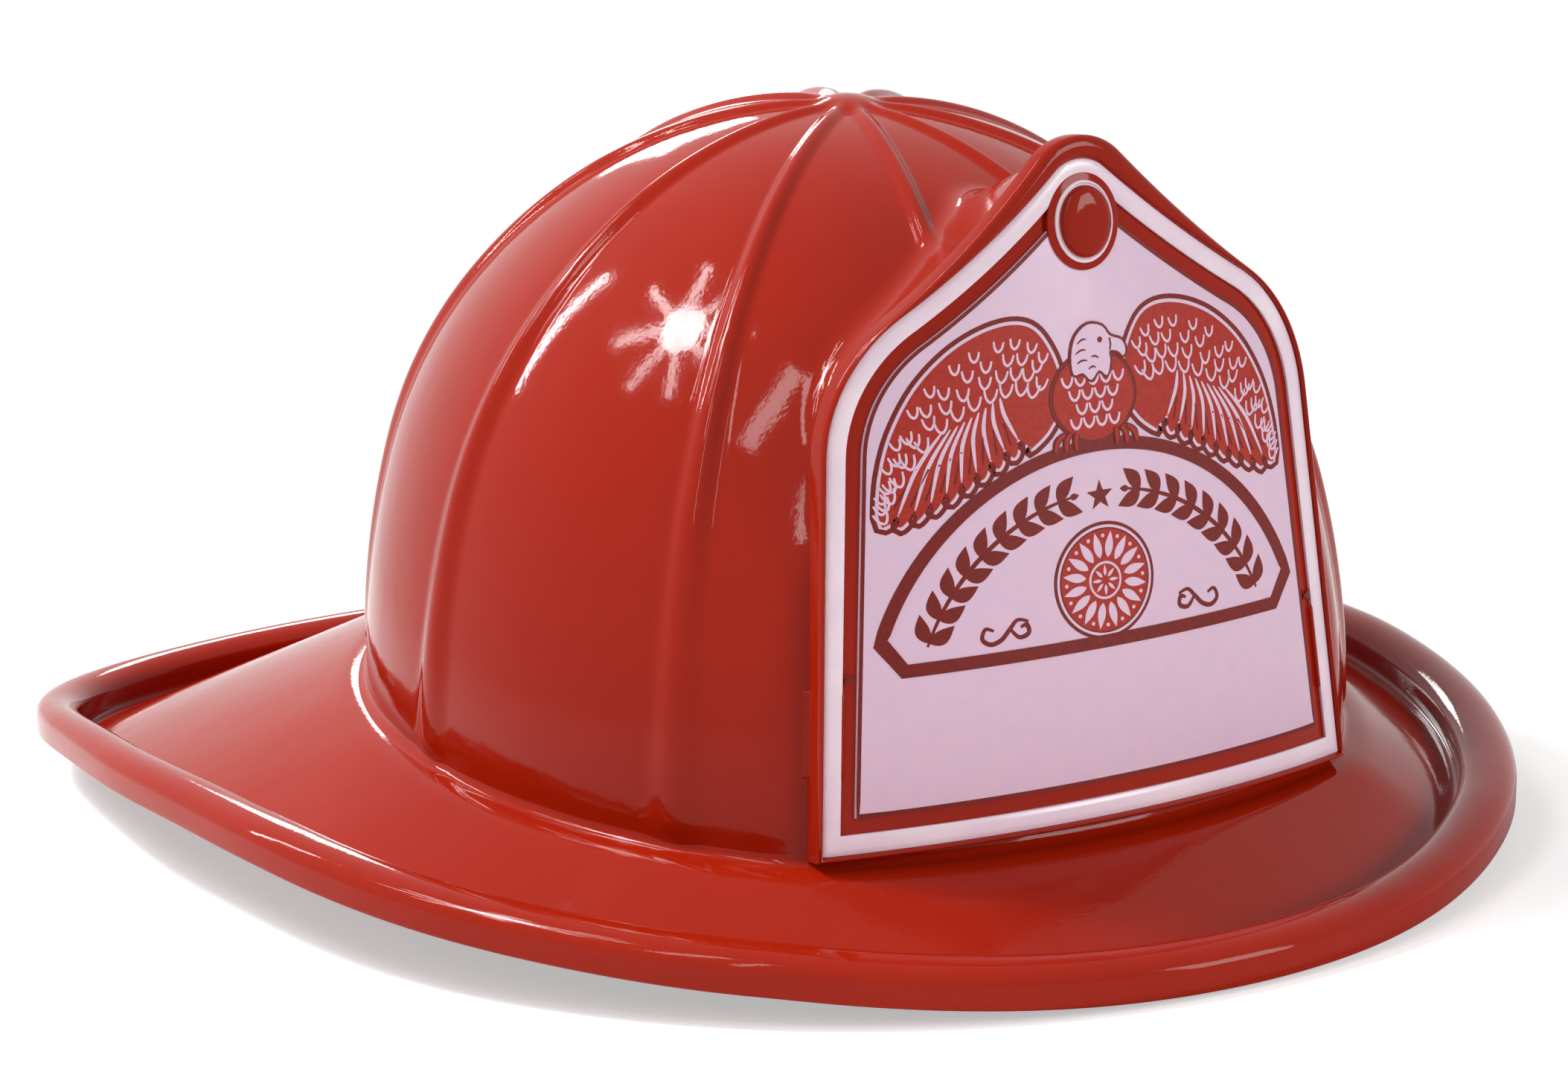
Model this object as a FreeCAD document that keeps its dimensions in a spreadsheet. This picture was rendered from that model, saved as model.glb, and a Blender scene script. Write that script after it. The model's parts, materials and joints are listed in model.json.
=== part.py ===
import FreeCAD, Part
import math
import os
import Sketcher
from FreeCAD import Placement, Rotation, Vector

# Moulded fire helmet with a tall frontpiece and a ratchet headband. Millimetres, +Z up,
# front towards -Y, wearer's right towards -X. The origin is the centre of the head opening,
# in the plane where the crown meets the brim.

os.makedirs("parts", exist_ok=True)
doc = FreeCAD.newDocument("FireHelmet")
sheet = doc.addObject("Spreadsheet::Sheet", "Sizes")

SIZES = [
    ("wall", 2.2, "shell wall"),
    ("crown_half_length", 122.5, "crown, centre to front or rear at the base"),
    ("crown_half_width", 104.0, "crown, centre to side at the base"),
    ("crown_height", 133.0, "base plane to top of crown"),
    ("crown_top_arc", 124.7, "profile arc over the top"),
    ("crown_haunch_arc", 102.0, "profile arc between top and side"),
    ("crown_side_arc", 184.0, "profile arc up the side"),
    ("rib_count", 10.0, "ribs round the crown"),
    ("rib_foot_width", 8.0, "rib width at the base"),
    ("rib_foot_height", 1.7, "rib height at the base"),
    ("rib_top_width", 3.4, "rib width near the top"),
    ("rib_top_height", 1.5, "rib height near the top"),
    ("boss_radius", 9.0, "button where the ribs meet"),
    ("boss_rise", 2.4, "button above the crown"),
    ("brim_front", 161.0, "brim edge from the centre, straight ahead"),
    ("brim_brow", 153.0, "brim edge 38 degrees from the front"),
    ("brim_side", 147.5, "brim edge at the side"),
    ("brim_quarter", 196.0, "brim edge 135 degrees from the front"),
    ("brim_corner", 224.5, "brim edge at the tail corners, 155 degrees from the front"),
    ("brim_tail", 211.0, "brim edge straight behind"),
    ("brim_fall", 0.139, "slope of the edge at front and sides"),
    ("brim_tail_fall", 0.425, "slope of the edge at the tail"),
    ("brim_drop", 3.6, "rim's middle line below the base plane where the slope starts"),
    ("rim_width", 12.5, "rolled rim, inside to outside"),
    ("rim_wall", 9.0, "rolled rim, height of its walls"),
    ("rim_crest", 4.0, "rounding on top of the rim"),
    ("ledge_width", 5.0, "flat ledge round the foot of the crown"),
    ("ledge_drop", 0.8, "fall across the ledge"),
    ("shield_lean", 8.4, "frontpiece leans back, degrees"),
    ("shield_front", 110.8, "frontpiece ahead of the centre at its foot"),
    ("shield_bend", 176.0, "plan radius of the frontpiece"),
    ("hood_depth", 60.0, "hood behind the frontpiece, front to rear"),
    ("hood_narrowing", 0.72, "hood's rear outline as a share of its front"),
    ("hood_focus", 70.0, "height towards which the hood narrows"),
    ("slab_half_angle", 26.0, "frontpiece blank, degrees either side of the middle"),
    ("slab_margin", 10.0, "frontpiece blank beyond its outline, below"),
    ("shield_foot", 4.5, "bottom edge of the white border above the base"),
    ("shield_half_foot", 64.5, "border half width at the bottom"),
    ("shoulder_x", 23.5, "centre of shoulder arc, sideways"),
    ("shoulder_z", 82.5, "centre of shoulder arc, height"),
    ("shoulder_arc", 34.8, "shoulder radius of the border"),
    ("hollow_arc", 230.0, "hollow radius between shoulder and peak"),
    ("peak_z", 131.0, "centre of peak arc, height"),
    ("peak_arc", 9.0, "peak radius of the border"),
    ("edge_margin", 1.6, "red edge outside the border"),
    ("peak_margin", 5.0, "red edge outside the border at the peak"),
    ("plate_thickness", 2.4, "frontpiece plate"),
    ("rim_proud", 1.4, "frontpiece edge ahead of the white face"),
    ("face_thickness", 0.8, "white face and border"),
    ("border_width", 4.0, "white border line"),
    ("groove_width", 3.3, "groove between border and face"),
    ("stud_z", 127.3, "oval stud, height of its centre"),
    ("stud_half_height", 7.4, "oval stud"),
    ("stud_half_width", 5.9, "oval stud"),
    ("stud_proud", 3.0, "oval stud ahead of the white face"),
    ("stud_ring", 1.3, "pale ring round the stud"),
    ("glue_gap", 0.05, "clearance of bonded and seated faces"),
    ("peg_radius", 2.5, "frontpiece pegs"),
    ("peg_length", 9.0, "peg behind the plate"),
    ("peg_clearance", 0.1, "peg to its hole"),
    ("peg_spread", 44.0, "pegs from the middle"),
    ("peg_low", 16.0, "lower pegs, height"),
    ("peg_high", 74.0, "upper pegs, height"),
    ("nut_radius", 6.5, "push nuts"),
    ("nut_thickness", 1.2, "push nuts"),
    ("band_radius", 76.0, "headband, inside of its end arcs"),
    ("band_straight", 42.0, "headband, straight side"),
    ("band_thickness", 1.4, "headband"),
    ("band_low", -8.0, "headband, lower edge"),
    ("band_high", 26.0, "headband, upper edge"),
    ("band_end", 32.0, "headband ends from straight behind, degrees"),
    ("strap_thickness", 1.2, "size straps"),
    ("strap_height", 18.0, "size straps"),
    ("strap_gap", 0.3, "clearance between sliding layers"),
    ("strap_tip", 21.0, "strap past the middle, degrees"),
    ("strap_stud", 42.0, "strap stud from straight behind, degrees"),
    ("strap_travel", 11.0, "strap travel either way, degrees"),
    ("slot_end_play", 5.0, "toothed slot beyond its travel, degrees"),
    ("stud_end_play", 2.0, "stud slot beyond its travel, degrees"),
    ("strap_end", 4.0, "strap beyond the stud slot, degrees"),
    ("nape_z", 4.0, "height of the ratchet axis"),
    ("pinion_pitch", 5.0, "pinion pitch radius"),
    ("pinion_teeth", 10.0, "pinion teeth"),
    ("tooth_addendum", 0.85, "tooth above the pitch line"),
    ("tooth_dedendum", 1.25, "tooth below the pitch line"),
    ("tooth_backlash", 0.35, "play across a tooth space"),
    ("housing_half_angle", 25.0, "ratchet housing, degrees either side"),
    ("housing_half_height", 12.5, "ratchet housing"),
    ("housing_wall", 1.8, "ratchet housing"),
    ("arm_end", 5.0, "arms of the base beyond the studs, degrees"),
    ("arm_margin", 2.0, "arms of the base narrower than the straps on each side"),
    ("end_play", 0.15, "play of the pinion along its axis"),
    ("shaft_radius", 3.0, "pinion shaft"),
    ("shaft_clearance", 0.06, "shaft in its bearings"),
    ("stud_radius", 2.0, "studs the size straps slide on"),
    ("head_height", 0.8, "heads of the small studs and screws"),
    ("screw_radius", 0.9, "housing screws"),
    ("screw_angle", 18.0, "housing screws either side of the knob, degrees"),
    ("knob_radius", 14.0, "size knob"),
    ("knob_thickness", 9.0, "size knob"),
    ("knob_flutes", 16.0, "grip flutes round the knob"),
    ("knob_gap", 0.5, "knob clear of the cover"),
    ("knob_edge", 1.0, "knob, rounding of its foot"),
    ("knob_crown", 2.0, "knob, slope of its outer edge"),
    ("recess_width", 2.4, "knob, recess for the screw head beyond the shaft"),
    ("recess_depth", 2.9, "knob, recess for the screw head"),
    ("pan_width", 2.0, "knob screw, head beyond the shaft"),
    ("pan_edge", 1.2, "knob screw, straight wall of the head"),
    ("pan_height", 2.2, "knob screw, head"),
    ("web_width", 19.0, "crown straps"),
    ("web_thickness", 1.5, "crown straps"),
    ("web_rise", 92.0, "underside of the lower crown strap above the base"),
    ("web_spring", 38.0, "height where the crown straps start to curve"),
    ("web_low", 28.0, "lower ends of the crown straps"),
    ("crown_rivet", 2.0, "rivet where the crown straps cross"),
    ("rivet_flange", 4.0, "heads of the crown rivet beyond its shank"),
    ("rivet_head", 1.2, "lower head of the crown rivet"),
    ("key_angle", 36.0, "suspension keys from the front or rear, degrees"),
    ("key_width", 18.0, "suspension keys"),
    ("key_shoulder", 2.0, "key wider than its blade on each side"),
    ("key_reach", 104.0, "key blade from the centre"),
    ("key_face", 94.6, "key plate from the centre, where the crown strap lies on it"),
    ("key_stud", 2.5, "stud of each key through the headband"),
    ("key_stud_z", 20.0, "height of the key studs"),
    ("key_stud_reach", 2.1, "key stud inwards from the plate's face"),
    ("key_stud_length", 5.0, "studs of the keys"),
    ("key_lift", 1.5, "keys above the size straps"),
    ("key_foot", 4.0, "foot of a key inwards of its plate's face"),
    ("key_deck", 1.0, "foot of a key above the headband"),
    ("key_thickness", 2.4, "suspension keys"),
    ("key_gap", 0.3, "key in its socket"),
    ("socket_low", 18.0, "underside of the sockets in the shell"),
    ("socket_high", 34.0, "top of the sockets in the shell"),
    ("socket_wall", 2.0, "wall round each socket"),
    ("pad_thickness", 3.0, "brow and nape pads"),
    ("pad_gap", 0.3, "soft pads clear of the band"),
    ("pad_edge", 1.0, "brow pad inside the headband's edges"),
    ("brow_half_angle", 75.0, "brow pad, degrees either side of the front"),
    ("nape_half_angle", 30.0, "nape pad, degrees either side of the rear"),
    ("nape_half_height", 8.5, "nape pad"),
]
for row, (alias, number, meaning) in enumerate(SIZES, start=1):
    sheet.set(f"A{row}", meaning)
    sheet.set(f"B{row}", str(number))
    sheet.setAlias(f"B{row}", alias)
doc.recompute()


def size(alias):
    return float(sheet.get(alias))


def value(expression):
    """Number of a sheet expression such as 'Sizes.wall * 2'."""
    return float(sheet.evalExpression(expression))


# --- helpers for sketches and bodies -------------------------------------------------------

def new_body(label):
    body = doc.addObject("PartDesign::Body", label)
    body.Label = label
    return body


def new_sketch(body, name, role="XY_Plane"):
    sketch = body.newObject("Sketcher::SketchObject", name)
    plane = next(item for item in body.Origin.OriginFeatures if item.Role == role)
    sketch.AttachmentSupport = [(plane, "")]
    sketch.MapMode = "FlatFace"
    return sketch


def bind(sketch, constraint, expression):
    """Add a constraint and tie its size to the sheet."""
    number = sketch.addConstraint(constraint)
    sketch.setExpression(f"Constraints[{number}]", expression)


def arc_between(start, end, radius):
    """Minor arc from start to end: centre on the left for a positive radius."""
    chord = end - start
    middle = (start + end) * 0.5
    left = Vector(-chord.y, chord.x, 0).normalize()
    half = chord.Length / 2
    reach = math.sqrt(max(radius * radius - half * half, 0.0))
    centre = middle + left * math.copysign(reach, radius)
    crown = centre + (middle - centre + left * -math.copysign(1e-6, radius)).normalize() * abs(radius)
    return Part.Arc(start, crown, end)


def end_at(sketch, edge, point):
    """Which end of a sketch edge lies at a point: 1 for its start, 2 for its end."""
    return min((1, 2), key=lambda end: (sketch.getPoint(edge, end) - point).Length)


def loop(sketch, corners):
    """Closed outline. Each corner is (x, y) or (x, y, radius of the arc to the next corner)."""
    places = [Vector(value(corner[0]), value(corner[1]), 0) for corner in corners]
    edges = []
    for index, corner in enumerate(corners):
        start = places[index]
        end = places[(index + 1) % len(corners)]
        straight = len(corner) == 2
        shape = Part.LineSegment(start, end) if straight else arc_between(start, end, value(corner[2]))
        edges.append(sketch.addGeometry(shape, False))
    for index, corner in enumerate(corners):
        edge = edges[index]
        before = edges[index - 1]
        first = end_at(sketch, edge, places[index])
        joined = end_at(sketch, before, places[index])
        sketch.addConstraint(Sketcher.Constraint("Coincident", before, joined, edge, first))
        bind(sketch, Sketcher.Constraint("DistanceX", -1, 1, edge, first, places[index].x), corner[0])
        bind(sketch, Sketcher.Constraint("DistanceY", -1, 1, edge, first, places[index].y), corner[1])
        if len(corner) == 3:
            bind(sketch, Sketcher.Constraint("Radius", edge, abs(value(corner[2]))), f"abs({corner[2]})")


def circle(sketch, radius, x="0", y="0"):
    centre = Vector(value(x), value(y), 0)
    edge = sketch.addGeometry(Part.Circle(centre, Vector(0, 0, 1), value(radius)), False)
    bind(sketch, Sketcher.Constraint("Radius", edge, value(radius)), radius)
    bind(sketch, Sketcher.Constraint("DistanceX", -1, 1, edge, 3, centre.x), x)
    bind(sketch, Sketcher.Constraint("DistanceY", -1, 1, edge, 3, centre.y), y)


def raise_sketch(sketch, height):
    """Lift a sketch off its plane, along the plane's normal."""
    sketch.setExpression("AttachmentOffset.Base.z", height)


def rectangle(sketch, left, low, right, high):
    loop(sketch, [(left, low), (right, low), (right, high), (left, high)])


def place(part, x, y, z):
    for axis, expression in zip("xyz", (x, y, z)):
        part.setExpression(f"Placement.Base.{axis}", expression)


def pad(body, sketch, length, both=False, up=True):
    feature = body.newObject("PartDesign::Pad", f"{sketch.Name}_pad")
    feature.Profile = sketch
    feature.setExpression("Length", length)
    feature.SideType = "Symmetric" if both else "One side"
    feature.Reversed = not up
    sketch.Visibility = False
    doc.recompute()
    return feature


def pocket(body, sketch, length, both=False, up=False):
    """Cut that must take something away."""
    before = body.Shape.Volume
    feature = body.newObject("PartDesign::Pocket", f"{sketch.Name}_pocket")
    feature.Profile = sketch
    feature.setExpression("Length", length)
    feature.SideType = "Symmetric" if both else "One side"
    feature.Reversed = up
    doc.recompute()
    if body.Shape.Volume >= before - 1e-3:
        raise ValueError(f"{body.Label}: {sketch.Name} cuts nothing")
    return feature


def revolve(body, sketch, axis="V_Axis"):
    feature = body.newObject("PartDesign::Revolution", f"{sketch.Name}_turn")
    feature.Profile = sketch
    feature.ReferenceAxis = (sketch, [axis])
    feature.Angle = 360
    doc.recompute()
    return feature


def around(body, feature, count, role="Z_Axis"):
    pattern = body.newObject("PartDesign::PolarPattern", f"{feature.Name}_round")
    pattern.Originals = [feature]
    pattern.Axis = (next(i for i in body.Origin.OriginFeatures if i.Role == role), [""])
    pattern.Angle = 360
    pattern.setExpression("Occurrences", count)
    body.Tip = pattern
    doc.recompute()
    return pattern


def computed(label, shape, placement=None):
    part = doc.addObject("Part::Feature", label)
    part.Label = label
    part.Shape = shape
    if placement:
        part.Placement = placement
    return part


# --- shell ---------------------------------------------------------------------------------

WALL = size("wall")
HALF_LENGTH = size("crown_half_length")
HALF_WIDTH = size("crown_half_width")
HEIGHT = size("crown_height")
LEAN = math.radians(size("shield_lean"))
BEND = size("shield_bend")
SHIELD_UP = Vector(0, math.sin(LEAN), math.cos(LEAN))
SHIELD_BACK = Vector(0, math.cos(LEAN), -math.sin(LEAN))
SHIELD_PLACE = Placement(
    Vector(0, -size("shield_front"), 0), Rotation(Vector(1, 0, 0), -size("shield_lean")))
PLATE_BACK = size("face_thickness") + size("plate_thickness")
FRONT_BEND = BEND - PLATE_BACK - size("glue_gap")
DOWN_REACH = 30.0
PROUD_REACH = 60.0


def toward(start, end, distance):
    return start + (end - start).normalize() * distance


def basket_arcs(inset):
    """Profile of the crown in the X-Z plane: side, haunch and top arcs, tangent in turn."""
    top_radius = size("crown_top_arc")
    haunch_radius = size("crown_haunch_arc")
    side_radius = size("crown_side_arc")
    top_centre = Vector(0, 0, HEIGHT - top_radius)
    side_centre = Vector(HALF_LENGTH - side_radius, 0, 0)
    line = top_centre - side_centre
    near = side_radius - haunch_radius
    far = top_radius - haunch_radius
    along = (near ** 2 - far ** 2 + line.Length ** 2) / (2 * line.Length)
    off = math.sqrt(near ** 2 - along ** 2)
    unit = line.normalize()
    haunch_centre = side_centre + unit * along + Vector(-unit.z, 0, unit.x) * off
    side_join = toward(side_centre, haunch_centre, side_radius - inset)
    top_join = toward(top_centre, haunch_centre, top_radius - inset)
    side_end = Vector(HALF_LENGTH - inset, 0, 0)
    top_end = Vector(0, 0, HEIGHT - inset)
    return (arc_on(side_centre, side_end, side_join),
            arc_on(haunch_centre, side_join, top_join),
            arc_on(top_centre, top_join, top_end))


def arc_on(centre, start, end):
    middle = (start + end) * 0.5
    return Part.Arc(start, toward(centre, middle, (start - centre).Length), end)


def squeezed(point, inset):
    """Bring a point of a round crown to its oval plan."""
    ratio = (HALF_WIDTH - inset) / (HALF_LENGTH - inset)
    return Vector(point.x * ratio, point.y, point.z)


def point_on(arcs, distance):
    """Place and heading at a distance along tangent arcs."""
    for arc in arcs:
        if distance <= arc.length() or arc is arcs[-1]:
            at = arc.parameterAtDistance(min(distance, arc.length()), arc.FirstParameter)
            return arc.value(at), Vector(*arc.tangent(at)[0])
        distance -= arc.length()


def smooth_curve(points, closed=False):
    """Curve through points at even steps, so that neighbouring curves share their knots."""
    curve = Part.BSplineCurve()
    last = len(points) if closed else len(points) - 1
    steps = [float(index) for index in range(last + 1)]
    curve.interpolate(Points=points, PeriodicFlag=closed, Parameters=steps)
    return curve


def skin(rows):
    """Smooth surface through closed curves that share their knots."""
    first = rows[0]
    columns = [smooth_curve(list(column)) for column in zip(*[row.getPoles() for row in rows])]
    poles = [column.getPoles() for column in columns]
    surface = Part.BSplineSurface()
    surface.buildFromPolesMultsKnots(
        poles, first.getMultiplicities(), columns[0].getMultiplicities(),
        first.getKnots(), columns[0].getKnots(),
        True, False, first.Degree, columns[0].Degree)
    return surface.toShape()


def strips(rows):
    """Ruled faces from each curve to the next."""
    return [Part.makeRuledSurface(one.toShape(), two.toShape())
            for one, two in zip(rows, rows[1:])]


def closed_solid(faces):
    hull = Part.Shell(faces)
    hull.sewShape()
    solid = Part.Solid(hull.Shells[0] if hull.Shells else hull)
    if solid.Volume < 0:
        solid.reverse()
    return solid


OVAL_POINTS = 24
CROWN_RINGS = 8


def oval(radius, height, inset):
    points = []
    for index in range(OVAL_POINTS):
        turn = 2 * math.pi * index / OVAL_POINTS
        point = Vector(-radius * math.sin(turn), -radius * math.cos(turn), height)
        points.append(squeezed(point, inset))
    return smooth_curve(points, closed=True)


def crown_solid(inset, foot):
    """Oval crown, filled, down to the height of its foot."""
    arcs = basket_arcs(inset)
    run = sum(arc.length() for arc in arcs) - size("boss_radius") / 2
    rings = []
    for index in range(CROWN_RINGS):
        place, _ = point_on(arcs, run * index / (CROWN_RINGS - 1))
        rings.append(oval(place.x, place.z, inset))
    low = oval(HALF_LENGTH - inset, foot, inset)
    lids = [Part.Face(Part.Wire(curve.toShape())) for curve in (low, rings[-1])]
    return closed_solid([skin(rings)] + strips([low, rings[0]]) + lids)


RIB_STATIONS = 9
RIB_FLATS = 3


def rib_solid(turn):
    """Rounded bead up one meridian, wide at the base and narrow at the button."""
    arcs = basket_arcs(0)
    run = sum(arc.length() for arc in arcs) - size("boss_radius") / 2
    swing = Rotation(Vector(0, 0, 1), turn)
    stations = []
    for index in range(RIB_STATIONS):
        share = index / (RIB_STATIONS - 1)
        place, heading = point_on(arcs, run * share)
        outward = Vector(heading.z, 0, -heading.x)
        width = size("rib_foot_width") * (1 - share) + size("rib_top_width") * share
        height = size("rib_foot_height") * (1 - share) + size("rib_top_height") * share
        sunk = place - outward * (WALL / 2)
        rise = height + WALL / 2
        across = []
        for corner in range(RIB_FLATS + 1):
            bend = math.pi * corner / RIB_FLATS
            point = sunk + outward * (rise * math.sin(bend))
            point += Vector(0, -math.cos(bend) * width / 2, 0)
            across.append(squeezed(swing.multVec(point), 0))
        stations.append(across)
    rows = [smooth_curve(list(row)) for row in zip(*stations)]
    ends = []
    for row_end in (0, -1):
        corners = [row.getPoles()[row_end] for row in rows]
        ends.append(Part.Face(Part.makePolygon(corners + corners[:1])))
    return closed_solid(strips(rows + rows[:1]) + ends)


def rib_solids():
    """Ribs all round; the front stays free of a rib, behind the frontpiece."""
    count = int(size("rib_count"))
    step = 360.0 / count
    return [rib_solid(90 + step * (index + 0.5)) for index in range(count)]


def top_button():
    """Low round button that covers the ends of the ribs."""
    radius = size("boss_radius")
    rise = size("boss_rise")
    sphere_radius = (radius ** 2 + rise ** 2) / (2 * rise)
    base = HEIGHT - (size("crown_top_arc") - math.sqrt(size("crown_top_arc") ** 2 - radius ** 2))
    sphere = Part.makeSphere(sphere_radius, Vector(0, 0, base + rise - sphere_radius))
    keep = Part.makeCylinder(radius, 2 * rise, Vector(0, 0, base - rise / 2))
    return sphere.common(keep)


class Ogee:
    """Outline of the frontpiece: straight sides, round shoulders, hollow sweep, round peak.

    It lies in the X-Z plane of the frontpiece. The margins are outwards of the white border."""

    def __init__(self, margin, peak_margin=None):
        peak_margin = margin if peak_margin is None else peak_margin
        self.shoulder = size("shoulder_arc") + margin
        self.peak = size("peak_arc") + peak_margin
        self.hollow = size("hollow_arc") - margin
        self.shoulder_centre = Vector(size("shoulder_x"), 0, size("shoulder_z"))
        self.peak_centre = Vector(0, 0, size("peak_z"))
        self.foot = Vector(size("shield_half_foot") + margin, 0, size("shield_foot") - margin)
        self.side_join = self.touch_of_side()
        self.hollow_centre = self.centre_of_hollow()
        self.shoulder_join = toward(self.shoulder_centre, self.hollow_centre, self.shoulder)
        self.peak_join = toward(self.peak_centre, self.hollow_centre, self.peak)

    def touch_of_side(self):
        """Where the straight side meets the shoulder arc as a tangent."""
        line = self.shoulder_centre - self.foot
        turn = math.asin(self.shoulder / line.Length)
        reach = math.sqrt(line.Length ** 2 - self.shoulder ** 2)
        heading = math.atan2(line.z, line.x) - turn
        return self.foot + Vector(math.cos(heading), 0, math.sin(heading)) * reach

    def centre_of_hollow(self):
        to_shoulder = self.hollow + self.shoulder
        to_peak = self.hollow + self.peak
        line = self.peak_centre - self.shoulder_centre
        along = (to_shoulder ** 2 - to_peak ** 2 + line.Length ** 2) / (2 * line.Length)
        off = math.sqrt(to_shoulder ** 2 - along ** 2)
        unit = line.normalize()
        return self.shoulder_centre + unit * along + Vector(unit.z, 0, -unit.x) * off

    def half_edges(self):
        top = self.peak_centre + Vector(0, 0, self.peak)
        return [Part.LineSegment(self.foot, self.side_join),
                arc_on(self.shoulder_centre, self.side_join, self.shoulder_join),
                arc_on(self.hollow_centre, self.shoulder_join, self.peak_join),
                arc_on(self.peak_centre, self.peak_join, top)]

    def wire(self):
        """Closed outline, for lofts."""
        right = [edge.toShape() for edge in self.half_edges()]
        left = [edge.mirror(Vector(), Vector(1, 0, 0)) for edge in right]
        bottom = Part.LineSegment(self.foot, Vector(-self.foot.x, 0, self.foot.z)).toShape()
        return Part.Wire(Part.__sortEdges__(right + left + [bottom]))


def hood_solid(inset):
    """What joins the tall frontpiece to the crown: it narrows backwards and sinks into it."""
    front = Ogee(size("edge_margin") - inset, size("peak_margin") - inset).wire()
    rear = front.copy()
    rear.scale(size("hood_narrowing"), Vector(0, 0, size("hood_focus")))
    front.translate(Vector(0, -PLATE_BACK, 0))
    rear.translate(Vector(0, size("hood_depth"), 0))
    hood = Part.makeLoft([front, rear], True, True)
    hood.Placement = SHIELD_PLACE
    return hood


def behind_shield(inset):
    """Everything behind the front wall: a leaning cylinder of the frontpiece's bend."""
    radius = FRONT_BEND - inset
    foot = Vector(0, -size("shield_front"), 0) + SHIELD_BACK * BEND - SHIELD_UP * PROUD_REACH
    return Part.makeCylinder(radius, HEIGHT + 3 * PROUD_REACH, foot, SHIELD_UP)


def round_spline(angles, numbers):
    """Smooth closed curve through edge distances, given from the front to straight behind."""
    points = [Vector(angle, number, 0) for angle, number in zip(angles, numbers)]
    curve = Part.BSplineCurve()
    level = Vector(1, 0, 0)
    curve.interpolate(Points=points, InitialTangent=level, FinalTangent=level)

    def at(angle):
        folded = min(max(abs(angle), angles[0]), angles[-1])
        hit = curve.intersectCC(Part.LineSegment(Vector(folded, 0, 0), Vector(folded, 999, 0)))
        return hit[0].Y
    return at


BRIM_EDGE = round_spline(
    [0, 38, 88, 135, 155, 180],
    [size(name) for name in ("brim_front", "brim_brow", "brim_side",
                             "brim_quarter", "brim_corner", "brim_tail")])


def crown_reach(angle):
    """Distance from the centre to the crown at its foot, flattened behind the frontpiece."""
    turn = math.radians(angle)
    oval = 1 / math.hypot(math.cos(turn) / HALF_LENGTH, math.sin(turn) / HALF_WIDTH)
    front = size("shield_front") - PLATE_BACK
    middle = FRONT_BEND - front
    flat = -middle * math.cos(turn) + math.sqrt(
        (middle * math.cos(turn)) ** 2 + FRONT_BEND ** 2 - middle ** 2)
    sharpness = 14
    return (oval ** -sharpness + flat ** -sharpness) ** (-1 / sharpness)


def brim_levels(angle):
    """Corners of the brim's section at one angle from the front, as (distance, height)."""
    edge = BRIM_EDGE(angle)
    foot = crown_reach(angle)
    tail = min(max((abs(angle) - 90) / 90, 0), 1)
    fall = size("brim_fall") + (size("brim_tail_fall") - size("brim_fall")) * tail
    middle = -size("brim_drop") - (edge - foot) * fall
    half_wall = size("rim_wall") / 2
    return edge, foot, middle + half_wall, middle - half_wall


RING_POINTS = 36
ROLL_FLATS = 4
UNDER_FLATS = 2


def ring(level):
    """Closed smooth curve round the brim; level(angle) gives distance and height."""
    points = []
    for index in range(RING_POINTS):
        angle = index * 360 / RING_POINTS
        distance, height = level(min(angle, 360 - angle))
        turn = math.radians(angle)
        points.append(Vector(-distance * math.sin(turn), -distance * math.cos(turn), height))
    return smooth_curve(points, closed=True)


def brim_solid():
    """Sloping floor and hollow rolled rim, one thickness of wall throughout."""
    rim = size("rim_width")
    crest = size("rim_crest")
    wall = size("rim_wall")
    inner = 0.8 * HALF_WIDTH

    def roll(sunk, share):
        """Point of the rounded top: share runs from 0 inside to 1 outside."""
        def level(angle):
            edge, _, top, _ = brim_levels(angle)
            bend = math.pi * share
            half = rim / 2 - sunk
            return (edge - rim / 2 - half * math.cos(bend),
                    top - crest + (crest - sunk) * math.sin(bend))
        return level

    def floor_end(sunk):
        def level(angle):
            edge, _, top, _ = brim_levels(angle)
            return edge - rim + sunk, top - wall - sunk
        return level

    def ledge_end(sunk):
        def level(angle):
            _, foot, _, _ = brim_levels(angle)
            return foot + size("ledge_width"), -size("ledge_drop") - sunk
        return level

    def inner_end(sunk):
        return lambda angle: (inner, -sunk)

    def lip(sunk):
        def level(angle):
            edge, _, _, low = brim_levels(angle)
            return edge - sunk, low
        return level

    upper = [ring(roll(0, flat / ROLL_FLATS)) for flat in range(ROLL_FLATS + 1)]
    lower = [ring(roll(WALL, flat / UNDER_FLATS)) for flat in range(UNDER_FLATS, -1, -1)]
    chain = [ring(inner_end(0)), ring(ledge_end(0)), ring(floor_end(0))] + upper
    chain += [ring(lip(0)), ring(lip(WALL))] + lower
    chain += [ring(floor_end(WALL)), ring(ledge_end(WALL)), ring(inner_end(WALL))]
    return closed_solid(strips(chain + chain[:1]))


def key_angles():
    """Directions of the suspension keys from the centre: degrees from the rear towards +X."""
    turn = size("key_angle")
    return {"rear_left": turn, "front_left": 180 - turn, "front_right": turn - 180,
            "rear_right": -turn}


def key_place(angle):
    """Frame of one key: local X points outwards."""
    return Placement(Vector(), Rotation(Vector(0, 0, 1), 90 - angle))


def socket_box(grow, high):
    """Room of a key's blade in the key's frame, grown by a clearance or a wall."""
    half = size("key_width") / 2 - size("key_shoulder") + grow
    near = size("key_reach") - grow
    deep = size("key_thickness") + 2 * grow
    low = size("socket_low")
    return Part.makeBox(deep, 2 * half, high - low, Vector(near, -half, low))


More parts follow.
